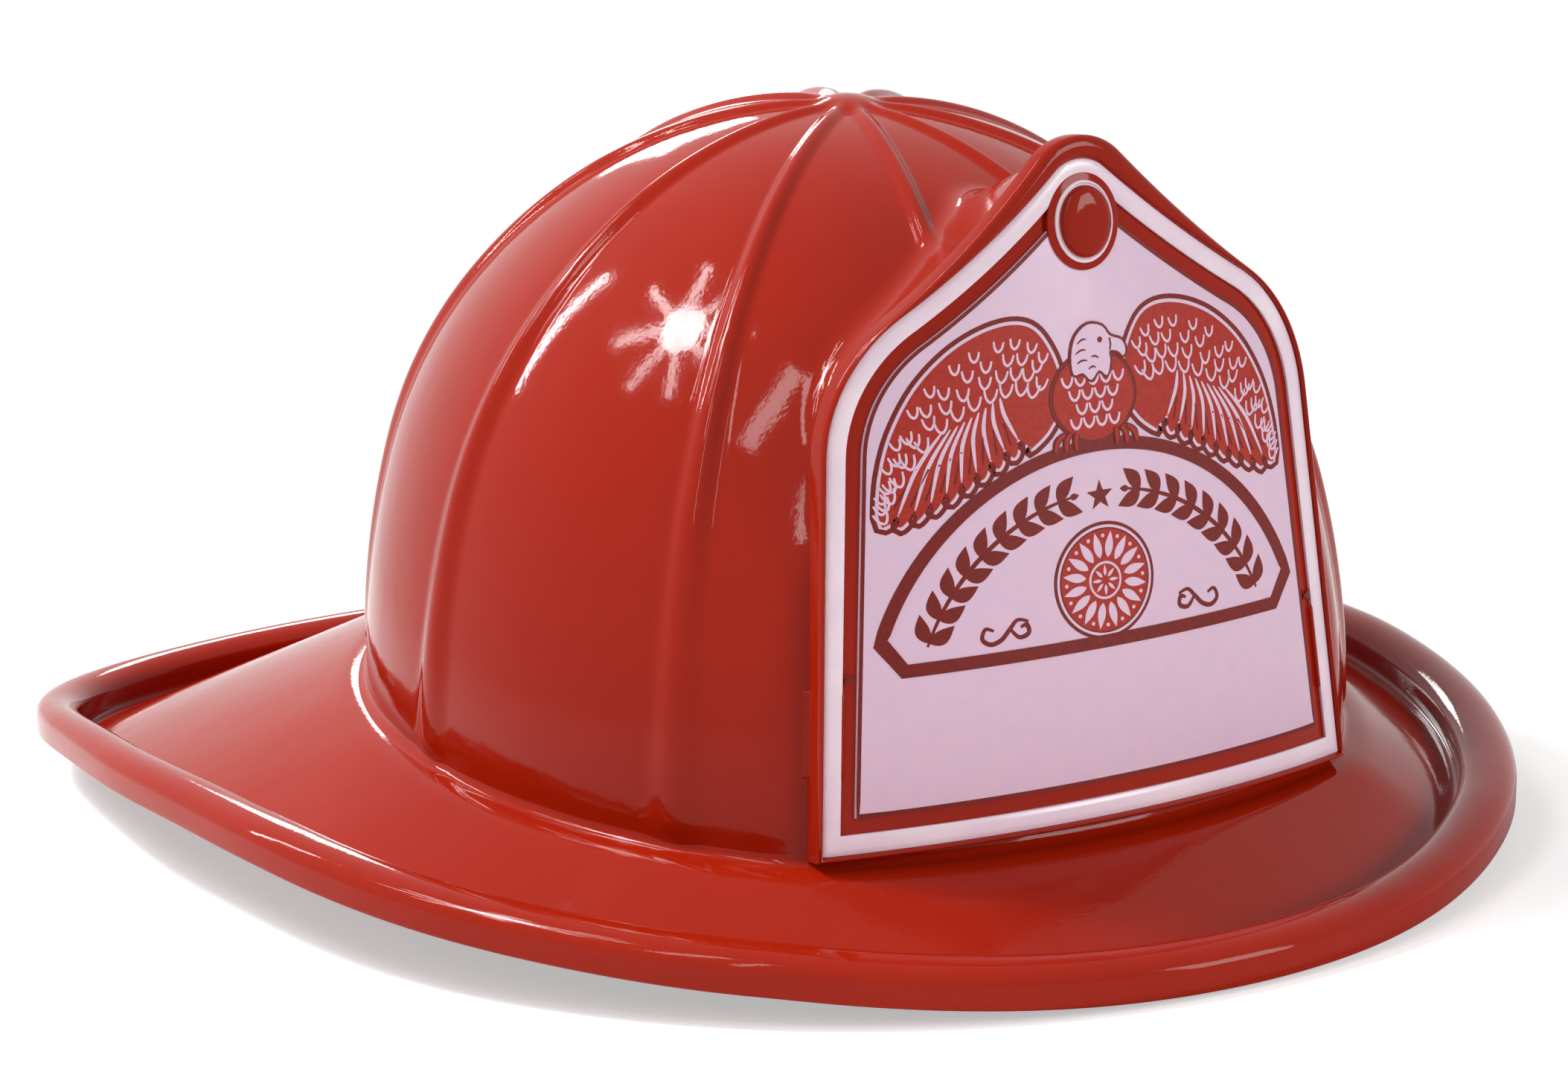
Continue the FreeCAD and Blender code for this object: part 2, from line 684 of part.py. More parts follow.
def socket_blocks():
    """Blocks on the inside of the crown, each open below for a key's blade."""
    blocks = []
    wall = size("socket_wall") + size("key_gap")
    top = size("socket_high")
    for angle in key_angles().values():
        block = socket_box(wall, top + size("socket_wall"))
        block = block.fuse(block.translated(Vector(size("key_thickness") + wall, 0, 0)))
        block = block.cut(socket_box(size("key_gap"), top))
        block.Placement = key_place(angle)
        blocks.append(block)
    return blocks


def peg_places():
    """Feet of the frontpiece pegs, in its own frame: sideways and up."""
    spread = size("peg_spread")
    return [(side * spread, up) for up in (size("peg_low"), size("peg_high")) for side in (-1, 1)]


def peg(radius, start, reach):
    pegs = []
    for across, up in peg_places():
        pin = Part.makeCylinder(radius, reach, Vector(across, start, up), Vector(0, 1, 0))
        pin.Placement = SHIELD_PLACE
        pegs.append(pin)
    return pegs


def shell_shape():
    middle = WALL / 2
    outside = crown_solid(0, -WALL).multiFuse(rib_solids() + [top_button()])
    outside = outside.fuse(hood_solid(0)).common(behind_shield(0))
    inside = crown_solid(WALL, -DOWN_REACH).fuse(hood_solid(WALL)).common(behind_shield(WALL))
    within = crown_solid(middle, -DOWN_REACH).common(behind_shield(middle))
    sockets = [block.common(within) for block in socket_blocks()]
    holes = peg(size("peg_radius") + size("peg_clearance"), 0, PROUD_REACH / 2)
    return outside.fuse(brim_solid()).cut(inside).multiFuse(sockets).cut(holes)


# --- frontpiece and what is on it ----------------------------------------------------------

OGEE_WIDE = "Sizes.shield_half_foot + Sizes.slab_margin"
PLATE_ANGLE = "Sizes.slab_half_angle"


def bent_plate(body, front, back):
    """Part of a tall cylinder wall, between two depths behind the white face."""
    sketch = new_sketch(body, f"{body.Name}_plan")
    radii = [f"(Sizes.shield_bend - ({front}))", f"(Sizes.shield_bend - ({back}))"]
    corners = []
    for radius, sides, turned in zip(radii, ((-1, 1), (1, -1)), ("", "-")):
        for step, side in enumerate(sides):
            across = f"{radius} * sin({PLATE_ANGLE}) * {side}"
            deep = f"Sizes.shield_bend - {radius} * cos({PLATE_ANGLE})"
            corner = (across, deep, f"{turned}{radius}") if step == 0 else (across, deep)
            corners.append(corner)
    loop(sketch, corners)
    raise_sketch(sketch, "-Sizes.slab_margin")
    return pad(body, sketch, "Sizes.crown_height + 4 * Sizes.slab_margin")


def ogee_loop(sketch, margin, peak_margin=None):
    """The frontpiece's outline, with its arcs held tangent and tied to the sheet."""
    peak_margin = margin if peak_margin is None else peak_margin
    shape = Ogee(value(margin), value(peak_margin))
    flat = {name: Vector(point.x, point.z, 0) for name, point in vars(shape).items()
            if isinstance(point, Vector)}
    top = flat["peak_centre"] + Vector(0, shape.peak, 0)

    def other(point):
        return Vector(-point.x, point.y, 0)

    def round_edge(centre, start, end):
        middle = centre + ((start + end) * 0.5 - centre).normalize() * (start - centre).Length
        return sketch.addGeometry(Part.Arc(start, middle, end), False)

    foot, side, shoulder, peak = (flat[name] for name in
                                  ("foot", "side_join", "shoulder_join", "peak_join"))
    bottom = sketch.addGeometry(Part.LineSegment(other(foot), foot), False)
    crest = sketch.addGeometry(Part.Arc(peak, top, other(peak)), False)
    for turn in (lambda point: point, other):
        line = sketch.addGeometry(Part.LineSegment(turn(foot), turn(side)), False)
        bend = round_edge(turn(flat["shoulder_centre"]), turn(side), turn(shoulder))
        sweep = round_edge(turn(flat["hollow_centre"]), turn(shoulder), turn(peak))
        corner = end_at(sketch, bottom, turn(foot))
        sketch.addConstraint(Sketcher.Constraint("Coincident", bottom, corner, line, 1))
        for one, two, join in ((line, bend, side), (bend, sweep, shoulder), (sweep, crest, peak)):
            ends = (one, end_at(sketch, one, turn(join)), two, end_at(sketch, two, turn(join)))
            sketch.addConstraint(Sketcher.Constraint("Tangent", *ends))
        sign = "1" if turn(foot).x > 0 else "-1"
        centre = turn(flat["shoulder_centre"])
        bind(sketch, Sketcher.Constraint("DistanceX", -1, 1, bend, 3, centre.x),
             f"{sign} * Sizes.shoulder_x")
        bind(sketch, Sketcher.Constraint("DistanceY", -1, 1, bend, 3, centre.y), "Sizes.shoulder_z")
        bind(sketch, Sketcher.Constraint("Radius", bend, shape.shoulder),
             f"Sizes.shoulder_arc + ({margin})")
        bind(sketch, Sketcher.Constraint("Radius", sweep, shape.hollow),
             f"Sizes.hollow_arc - ({margin})")
        bind(sketch, Sketcher.Constraint("DistanceX", -1, 1, line, 1, turn(foot).x),
             f"{sign} * (Sizes.shield_half_foot + ({margin}))")
        bind(sketch, Sketcher.Constraint("DistanceY", -1, 1, line, 1, foot.y),
             f"Sizes.shield_foot - ({margin})")
    bind(sketch, Sketcher.Constraint("DistanceX", -1, 1, crest, 3, 0), "0")
    bind(sketch, Sketcher.Constraint("DistanceY", -1, 1, crest, 3, flat["peak_centre"].y),
         "Sizes.peak_z")
    bind(sketch, Sketcher.Constraint("Radius", crest, shape.peak), f"Sizes.peak_arc + ({peak_margin})")


def trim_outside(body, margin, peak_margin=None):
    sketch = new_sketch(body, f"{body.Name}_outline", "XZ_Plane")
    ogee_loop(sketch, margin, peak_margin)
    rectangle(sketch, f"-({OGEE_WIDE}) * 2", "-6 * Sizes.slab_margin", f"({OGEE_WIDE}) * 2",
              "Sizes.crown_height + 9 * Sizes.slab_margin")
    pocket(body, sketch, "4 * Sizes.shield_bend", both=True)


def cut_window(body, margin):
    sketch = new_sketch(body, f"{body.Name}_window", "XZ_Plane")
    ogee_loop(sketch, margin)
    pocket(body, sketch, "4 * Sizes.shield_bend", both=True)


def ellipse(sketch, half_width, half_height, height):
    centre = Vector(0, value(height), 0)
    tall = centre + Vector(0, value(half_height), 0)
    wide = centre + Vector(value(half_width), 0, 0)
    edge = sketch.addGeometry(Part.Ellipse(tall, wide, centre), False)
    sketch.exposeInternalGeometry(edge)
    major, minor = edge + 1, edge + 2
    bind(sketch, Sketcher.Constraint("DistanceX", -1, 1, edge, 3, 0), "0")
    bind(sketch, Sketcher.Constraint("DistanceY", -1, 1, edge, 3, centre.y), height)
    sketch.addConstraint(Sketcher.Constraint("Vertical", major))
    bind(sketch, Sketcher.Constraint("Distance", major, 2 * value(half_height)), f"2 * ({half_height})")
    bind(sketch, Sketcher.Constraint("Distance", minor, 2 * value(half_width)), f"2 * ({half_width})")


def oval_window(body, grow):
    sketch = new_sketch(body, f"{body.Name}_oval", "XZ_Plane")
    ellipse(sketch, f"Sizes.stud_half_width + {grow}", f"Sizes.stud_half_height + {grow}",
            "Sizes.stud_z")
    pocket(body, sketch, "Sizes.shield_bend", both=True)


def make_frontpiece():
    """Bent plate with a raised edge and four pegs, moulded as one."""
    back = "Sizes.face_thickness + Sizes.plate_thickness"
    plate = new_body("frontpiece_plate")
    bent_plate(plate, "Sizes.face_thickness", back)
    trim_outside(plate, "Sizes.edge_margin", "Sizes.peak_margin")
    edge = new_body("frontpiece_edge")
    bent_plate(edge, "-Sizes.rim_proud", back)
    trim_outside(edge, "Sizes.edge_margin", "Sizes.peak_margin")
    cut_window(edge, "Sizes.glue_gap")
    pieces = [plate, edge]
    for number, (across, up) in enumerate(peg_places()):
        pin = doc.addObject("Part::Cylinder", f"peg_{number}")
        pin.setExpression("Radius", "Sizes.peg_radius")
        depth = BEND - math.sqrt(BEND ** 2 - across ** 2)
        pin.Placement = Placement(Vector(across, depth + PLATE_BACK - WALL / 2, up),
                                  Rotation(Vector(1, 0, 0), -90))
        pin.setExpression("Height", "Sizes.peg_length")
        pieces.append(pin)
    front = doc.addObject("Part::MultiFuse", "frontpiece")
    front.Label = "frontpiece"
    front.Shapes = pieces
    front.Placement = SHIELD_PLACE
    doc.recompute()
    return front


def make_shield_border():
    body = new_body("shield_border")
    bent_plate(body, "0", "Sizes.face_thickness - Sizes.glue_gap")
    trim_outside(body, "0")
    cut_window(body, "-Sizes.border_width")
    oval_window(body, "Sizes.stud_ring + Sizes.glue_gap")
    body.Placement = SHIELD_PLACE
    return body


def make_shield_face():
    body = new_body("shield_face")
    bent_plate(body, "0", "Sizes.face_thickness - Sizes.glue_gap")
    trim_outside(body, "-Sizes.border_width - Sizes.groove_width")
    oval_window(body, "Sizes.stud_ring + Sizes.groove_width")
    body.Placement = SHIELD_PLACE
    return body


def oval_on_plate(label, grow, proud, hollow=None):
    """Oval piece on the plate's face; its sketch plane faces forward."""
    body = new_body(label)
    sketch = new_sketch(body, f"{label}_oval", "XZ_Plane")
    ellipse(sketch, f"Sizes.stud_half_width + {grow}", f"Sizes.stud_half_height + {grow}",
            "Sizes.stud_z")
    if hollow:
        ellipse(sketch, f"Sizes.stud_half_width + {hollow}", f"Sizes.stud_half_height + {hollow}",
                "Sizes.stud_z")
    raise_sketch(sketch, "Sizes.glue_gap - Sizes.face_thickness")
    pad(body, sketch, f"Sizes.face_thickness + {proud}")
    body.Placement = SHIELD_PLACE
    return body


def make_peak_stud():
    body = oval_on_plate("peak_stud", "0", "Sizes.stud_proud")
    block = body.Tip
    front = min(vertex.Point.y for vertex in block.Shape.Vertexes)
    rims = [f"Edge{number}" for number, edge in enumerate(block.Shape.Edges, start=1)
            if all(abs(vertex.Point.y - front) < 1e-6 for vertex in edge.Vertexes)]
    dome = body.newObject("PartDesign::Chamfer", "stud_dome")
    dome.Base = (block, rims)
    dome.setExpression("Size", "Sizes.stud_proud / 2")
    body.Tip = dome
    doc.recompute()
    return body


def make_push_nuts():
    """Sprung washers that grip the pegs behind the shell's front wall."""
    washers = []
    for number, (across, up) in enumerate(peg_places()):
        nut = doc.addObject("Part::Feature", f"push_nut_{number}")
        hollow = FRONT_BEND - WALL
        start = BEND - math.sqrt(hollow ** 2 - (abs(across) + size("nut_radius")) ** 2)
        start += size("glue_gap")
        disc = Part.makeCylinder(size("nut_radius"), size("nut_thickness"),
                                 Vector(across, start, up), Vector(0, 1, 0))
        bore = Part.makeCylinder(size("peg_radius"), PROUD_REACH,
                                 Vector(across, 0, up), Vector(0, 1, 0))
        nut.Shape = disc.cut(bore)
        washers.append(nut)
    group = doc.addObject("Part::Compound", "push_nuts")
    group.Label = "push_nuts"
    group.Links = washers
    group.Placement = SHIELD_PLACE
    return group


# --- headband, size straps and ratchet -----------------------------------------------------

SCREW_HEIGHT = "(Sizes.housing_half_height + Sizes.strap_height / 2) / 2"
BAND_OUT = "(Sizes.band_radius + Sizes.band_thickness)"
RIGHT_STRAP_IN = f"({BAND_OUT} + Sizes.strap_gap)"
LEFT_STRAP_IN = f"({RIGHT_STRAP_IN} + Sizes.strap_thickness + Sizes.strap_gap)"
LAYERS_OUT = f"({LEFT_STRAP_IN} + Sizes.strap_thickness)"
BASE_OUT = "(Sizes.band_radius - Sizes.strap_gap)"
BASE_IN = f"({BASE_OUT} - Sizes.band_thickness)"
COVER_IN = f"({LAYERS_OUT} + Sizes.strap_gap)"
COVER_OUT = f"({COVER_IN} + Sizes.housing_wall)"
REAR_CENTRE = "Sizes.band_straight / 2"


def arc_strip(body, near, far, start, end, low, high, name="strip"):
    """Upright strip round the local Z axis; angles run from +Y towards +X."""
    sketch = new_sketch(body, f"{body.Name}_{name}")

    def spot(radius, angle):
        return f"({radius}) * sin({angle})", f"({radius}) * cos({angle})"

    middle = f"(({start}) + ({end})) / 2"
    loop(sketch, [spot(far, start) + (f"-({far})",), spot(far, middle) + (f"-({far})",),
                  spot(far, end), spot(near, end) + (near,), spot(near, middle) + (near,),
                  spot(near, start)])
    raise_sketch(sketch, low)
    return pad(body, sketch, f"({high}) - ({low})")


TURNED = Rotation(Vector(0, 1, 0), 0)


def turned_cut(body, name, angle, corners):
    """Cut straight through a strip at one angle round the Z axis; corners are sideways and up."""
    sketch = new_sketch(body, f"{body.Name}_{name}", "XZ_Plane")
    sketch.AttachmentOffset = Placement(Vector(), TURNED)
    sketch.setExpression("AttachmentOffset.Rotation.Angle", f"-({angle})")
    loop(sketch, corners)
    return pocket(body, sketch, "4 * Sizes.band_radius", both=True)


def box_corners(left, low, right, high):
    return [(left, low), (right, low), (right, high), (left, high)]


def make_headband():
    """Open band: round at the brow, straight at the temples, its ends apart at the nape."""
    body = new_body("headband")
    sketch = new_sketch(body, "headband_plan")
    half = "Sizes.band_straight / 2"
    inner = "Sizes.band_radius"
    end = "Sizes.band_end"

    def nape(radius, side):
        return f"{side} * {radius} * sin({end})", f"{half} + {radius} * cos({end})"

    loop(sketch, [
        nape(BAND_OUT, "1") + (f"-{BAND_OUT}",),
        (BAND_OUT, half), (BAND_OUT, f"-{half}", f"-{BAND_OUT}"),
        ("0", f"-{half} - {BAND_OUT}", f"-{BAND_OUT}"), (f"-{BAND_OUT}", f"-{half}"),
        (f"-{BAND_OUT}", half, f"-{BAND_OUT}"), nape(BAND_OUT, "-1"),
        nape(inner, "-1") + (inner,), (f"-{inner}", half), (f"-{inner}", f"-{half}", inner),
        ("0", f"-{half} - {inner}", inner), (inner, f"-{half}"), (inner, half, inner),
        nape(inner, "1")])
    raise_sketch(sketch, "Sizes.band_low")
    pad(body, sketch, "Sizes.band_high - Sizes.band_low")
    for name, angle in key_angles().items():
        stud_hole(body, f"key_hole_{name}", str(angle), "Sizes.key_stud_z",
                  "Sizes.key_stud + Sizes.glue_gap")
    for side in (-1, 1):
        stud_hole(body, f"strap_hole_{side + 1}", f"{side} * Sizes.strap_stud", "Sizes.nape_z",
                  STRAP_STUD_HOLE, half)
    return body


STRAP_STUD_HOLE = "Sizes.stud_radius + Sizes.glue_gap"
SLOT_HALF = "(Sizes.strap_travel + Sizes.slot_end_play)"
STUD_SLOT_HALF = "(Sizes.strap_travel + Sizes.stud_end_play)"
STRAP_PITCH = "(2 * pi * Sizes.pinion_pitch / Sizes.pinion_teeth)"
RACK_TEETH = 13


def make_size_strap(label, side, near):
    """Strap with a rack in its slot; side is -1 for the wearer's right."""
    body = new_body(label)
    body.setExpression("Placement.Base.y", REAR_CENTRE)
    body.setExpression("Placement.Base.z", "Sizes.nape_z")
    far = f"({near} + Sizes.strap_thickness)"
    middle = f"({near} + Sizes.strap_thickness / 2)"
    outer_end = f"{side} * (Sizes.strap_stud + {STUD_SLOT_HALF} + Sizes.strap_end)"
    tip = f"{-side} * Sizes.strap_tip"
    ends = (outer_end, tip) if side < 0 else (tip, outer_end)
    half = "Sizes.strap_height / 2"
    arc_strip(body, near, far, ends[0], ends[1], f"-{half}", half)
    # the rack hangs from the slot's upper edge on the right strap, and stands on the lower
    # edge on the left strap, so that one pinion drives the two opposite ways
    up = -side
    tip_line = f"{up} * (Sizes.pinion_pitch - Sizes.tooth_addendum)"
    root_line = f"{up} * (Sizes.pinion_pitch + Sizes.tooth_dedendum)"
    clear = f"{-up} * (Sizes.pinion_pitch + Sizes.tooth_addendum + Sizes.strap_gap)"
    reach = f"{middle} * sin({SLOT_HALF})"
    turned_cut(body, "slot", "0", box_corners(f"-{reach}", clear, reach, tip_line))
    step = f"({STRAP_PITCH} / {middle} * 180 / pi)"
    first = f"({(RACK_TEETH - 1) // 2} * {step})"
    wide = f"({STRAP_PITCH} / 4 + (Sizes.tooth_addendum) * tan(20) + Sizes.tooth_backlash / 2)"
    thin = f"({STRAP_PITCH} / 4 - (Sizes.tooth_dedendum) * tan(20) + Sizes.tooth_backlash / 2)"
    space = turned_cut(body, "tooth_space", first, [
        (f"-{wide}", tip_line), (wide, tip_line), (thin, root_line), (f"-{thin}", root_line)])
    rack = around(body, space, str(RACK_TEETH))
    rack.setExpression("Angle", f"{RACK_TEETH - 1} * {step}")
    body.Tip = rack
    doc.recompute()
    stud_half = f"{middle} * sin({STUD_SLOT_HALF})"
    bore = "(Sizes.stud_radius + Sizes.strap_gap)"
    turned_cut(body, "stud_slot", f"{side} * Sizes.strap_stud",
               box_corners(f"-{stud_half}", f"-{bore}", stud_half, bore))
    return body


def make_pinion():
    """Toothed wheel with its shaft, on the local Z axis, which points to the rear."""
    body = new_body("pinion")
    root = "Sizes.pinion_pitch - Sizes.tooth_dedendum"
    core = new_sketch(body, "pinion_core")
    circle(core, root)
    face_length = f"({LAYERS_OUT} - {RIGHT_STRAP_IN})"
    pad(body, core, face_length)
    tooth = new_sketch(body, "pinion_tooth")
    wide = f"({STRAP_PITCH} / 4 + Sizes.tooth_dedendum * tan(20))"
    thin = f"({STRAP_PITCH} / 4 - Sizes.tooth_addendum * tan(24))"
    tip = "Sizes.pinion_pitch + Sizes.tooth_addendum"
    sunk = f"({root}) / 1.2"
    loop(tooth, [(f"-{wide}", sunk), (wide, sunk), (thin, tip), (f"-{thin}", tip)])
    around(body, pad(body, tooth, face_length), "Sizes.pinion_teeth")
    inner = new_sketch(body, "pinion_inner_pivot")
    circle(inner, "Sizes.shaft_radius")
    raise_sketch(inner, f"{BASE_IN} - {RIGHT_STRAP_IN} + Sizes.end_play")
    pad(body, inner, f"{RIGHT_STRAP_IN} - {BASE_IN}")
    shaft = new_sketch(body, "pinion_shaft")
    circle(shaft, "Sizes.shaft_radius")
    pad(body, shaft, f"{COVER_OUT} - {RIGHT_STRAP_IN} + Sizes.knob_gap + Sizes.knob_thickness"
                     " - Sizes.recess_depth - Sizes.strap_gap / 3")
    body.Placement = Placement(Vector(), Rotation(Vector(1, 0, 0), -90))
    body.setExpression("Placement.Base.y", f"{REAR_CENTRE} + {RIGHT_STRAP_IN} - Sizes.end_play")
    body.setExpression("Placement.Base.z", "Sizes.nape_z")
    return body


def cover_sweep(body, label, near, far, half_angle, half_height):
    arc_strip(body, near, far, f"-({half_angle})", half_angle, f"-({half_height})", half_height, label)


def make_ratchet_base():
    """Plate behind the straps, with arms that reach the ends of the headband."""
    body = new_body("ratchet_base")
    place(body, "0", REAR_CENTRE, "Sizes.nape_z")
    cover_sweep(body, "arms", BASE_IN, BASE_OUT, "Sizes.strap_stud + Sizes.arm_end",
                "Sizes.strap_height / 2 - Sizes.arm_margin")
    cover_sweep(body, "plate", BASE_IN, BASE_OUT, "Sizes.housing_half_angle",
                "Sizes.housing_half_height")
    bearing = new_sketch(body, "base_bearing", "XZ_Plane")
    circle(bearing, "Sizes.shaft_radius + Sizes.shaft_clearance")
    pocket(body, bearing, "4 * Sizes.band_radius", both=True)
    for side in (-1, 1):
        stud_hole(body, f"stud_hole_{side + 1}", f"{side} * Sizes.strap_stud", "0", STRAP_STUD_HOLE)
    screw_holes(body)
    return body


def stud_hole(body, name, angle, height, radius, centre="0"):
    """Round hole outwards from an upright axis at one angle."""
    sketch = new_sketch(body, f"{body.Name}_{name}", "XZ_Plane")
    sketch.AttachmentOffset = Placement(Vector(), TURNED)
    sketch.setExpression("AttachmentOffset.Rotation.Angle", f"-({angle})")
    sketch.setExpression("AttachmentOffset.Base.z", f"-({centre})")
    circle(sketch, radius, "0", height)
    return pocket(body, sketch, "2 * Sizes.band_radius")


def screw_holes(body):
    """Holes of the four housing screws, above and below the straps."""
    for side in (-1, 1):
        for up in (-1, 1):
            stud_hole(body, f"screw_hole_{side + 1}{up + 1}", f"{side} * Sizes.screw_angle",
                      f"{up} * {SCREW_HEIGHT}", "Sizes.screw_radius + Sizes.glue_gap")


def make_ratchet_cover():
    """Outer half of the housing: a curved tray open at both ends for the straps."""
    body = new_body("ratchet_cover")
    place(body, "0", REAR_CENTRE, "Sizes.nape_z")
    half = "Sizes.housing_half_height"
    angle = "Sizes.housing_half_angle"
    cover_sweep(body, "wall", COVER_IN, COVER_OUT, angle, half)
    inside = f"({BASE_OUT} + Sizes.glue_gap)"
    for name, low, high in (("floor", f"-({half})", f"-(Sizes.strap_height / 2 + Sizes.strap_gap)"),
                            ("roof", "Sizes.strap_height / 2 + Sizes.strap_gap", half)):
        arc_strip(body, inside, COVER_OUT, f"-({angle})", angle, low, high, name)
    bearing = new_sketch(body, "cover_bearing", "XZ_Plane")
    circle(bearing, "Sizes.shaft_radius + Sizes.shaft_clearance")
    pocket(body, bearing, "4 * Sizes.band_radius", both=True)
    screw_holes(body)
    return body


def make_knob():
    """Size knob with grip flutes, turned about the local Z axis."""
    body = new_body("size_knob")
    profile = new_sketch(body, "knob_profile", "XZ_Plane")
    radius, thick = "Sizes.knob_radius", "Sizes.knob_thickness"
    bore = "Sizes.shaft_radius + Sizes.glue_gap"
    edge, crown = "Sizes.knob_edge", "Sizes.knob_crown"
    recess, floor = "Sizes.shaft_radius + Sizes.recess_width", f"{thick} - Sizes.recess_depth"
    loop(profile, [(bore, "0"), (f"{radius} - {edge}", "0"), (radius, edge),
                   (radius, f"{thick} - {crown}"), (f"{radius} - {crown}", thick),
                   (recess, thick), (recess, floor), (bore, floor)])
    revolve(body, profile)
    flute = new_sketch(body, "knob_flute")
    circle(flute, "Sizes.knob_radius / 9", "Sizes.knob_radius + Sizes.knob_radius / 24")
    cut = pocket(body, flute, "2 * Sizes.knob_thickness", both=True)
    around(body, cut, "Sizes.knob_flutes")
    body.Placement = Placement(Vector(), Rotation(Vector(1, 0, 0), -90))
    body.setExpression("Placement.Base.y", f"{REAR_CENTRE} + {COVER_OUT} + Sizes.knob_gap")
    body.setExpression("Placement.Base.z", "Sizes.nape_z")
    return body


def make_knob_screw():
    """Pan-head screw that holds the knob to the pinion's shaft."""
    body = new_body("knob_screw")
    head = new_sketch(body, "knob_screw_profile", "XZ_Plane")
    wide = "Sizes.shaft_radius + Sizes.pan_width"
    loop(head, [("0", "0"), (wide, "0"), (wide, "Sizes.pan_edge"),
                (f"{wide} - Sizes.pan_width / 2", "Sizes.pan_height"), ("0", "Sizes.pan_height")])
    revolve(body, head)
    body.Placement = Placement(Vector(), Rotation(Vector(1, 0, 0), -90))
    body.setExpression("Placement.Base.y", f"{REAR_CENTRE} + {COVER_OUT} + Sizes.knob_gap"
                                           " + Sizes.knob_thickness - Sizes.recess_depth + Sizes.glue_gap")
    body.setExpression("Placement.Base.z", "Sizes.nape_z")
    return body


def stud_shape(start, length, head, angle, height):
    """Rivet along a radius of the rear arc: head inside, flange outside."""
    thick = size("head_height")
    across = Vector(0, 1, 0)
    pin = Part.makeCylinder(size("stud_radius"), length, Vector(0, start, height), across)
    inner = Part.makeCylinder(head, thick, Vector(0, start - thick, height), across)
    outer = Part.makeCylinder(head, thick, Vector(0, start + length, height), across)
    return pin.multiFuse([inner, outer]).rotated(Vector(), Vector(0, 0, 1), -angle)


def make_strap_studs():
    """Headed studs through the base's arms and the headband; the straps slide on them."""
    base = value(BASE_IN)
    gap = size("strap_gap")
    studs = []
    for side, outer in ((-1, RIGHT_STRAP_IN), (1, LEFT_STRAP_IN)):
        end = value(outer) + size("strap_thickness") + size("strap_gap")
        stud = doc.addObject("Part::Feature", f"strap_stud_{side + 1}")
        stud.Shape = stud_shape(base - gap, end - base + gap, 2 * size("stud_radius"),
                                side * size("strap_stud"), 0)
        studs.append(stud)
    group = doc.addObject("Part::Compound", "strap_studs")
    group.Label = "strap_studs"
    group.Links = studs
    place(group, "0", REAR_CENTRE, "Sizes.nape_z")
    return group


def make_cover_screws():
    head_top = value(BASE_IN) - size("glue_gap") - size("head_height")
    length = value(COVER_OUT) - size("screw_radius") - head_top
    screws = []
    for side in (-1, 1):
        for up in (-1, 1):
            screw = doc.addObject("Part::Feature", f"cover_screw_{side + 1}{up + 1}")
            height = up * value(SCREW_HEIGHT)
            start = Vector(0, head_top, height)
            pin = Part.makeCylinder(size("screw_radius"), length, start, Vector(0, 1, 0))
            head = Part.makeCylinder(2 * size("screw_radius"), size("head_height"), start,
                                     Vector(0, 1, 0))
            screw.Shape = pin.fuse(head).rotated(
                Vector(), Vector(0, 0, 1), -side * size("screw_angle"))
            screws.append(screw)
    group = doc.addObject("Part::Compound", "cover_screws")
    group.Label = "cover_screws"
    group.Links = screws
    place(group, "0", REAR_CENTRE, "Sizes.nape_z")
    return group


# --- suspension ----------------------------------------------------------------------------

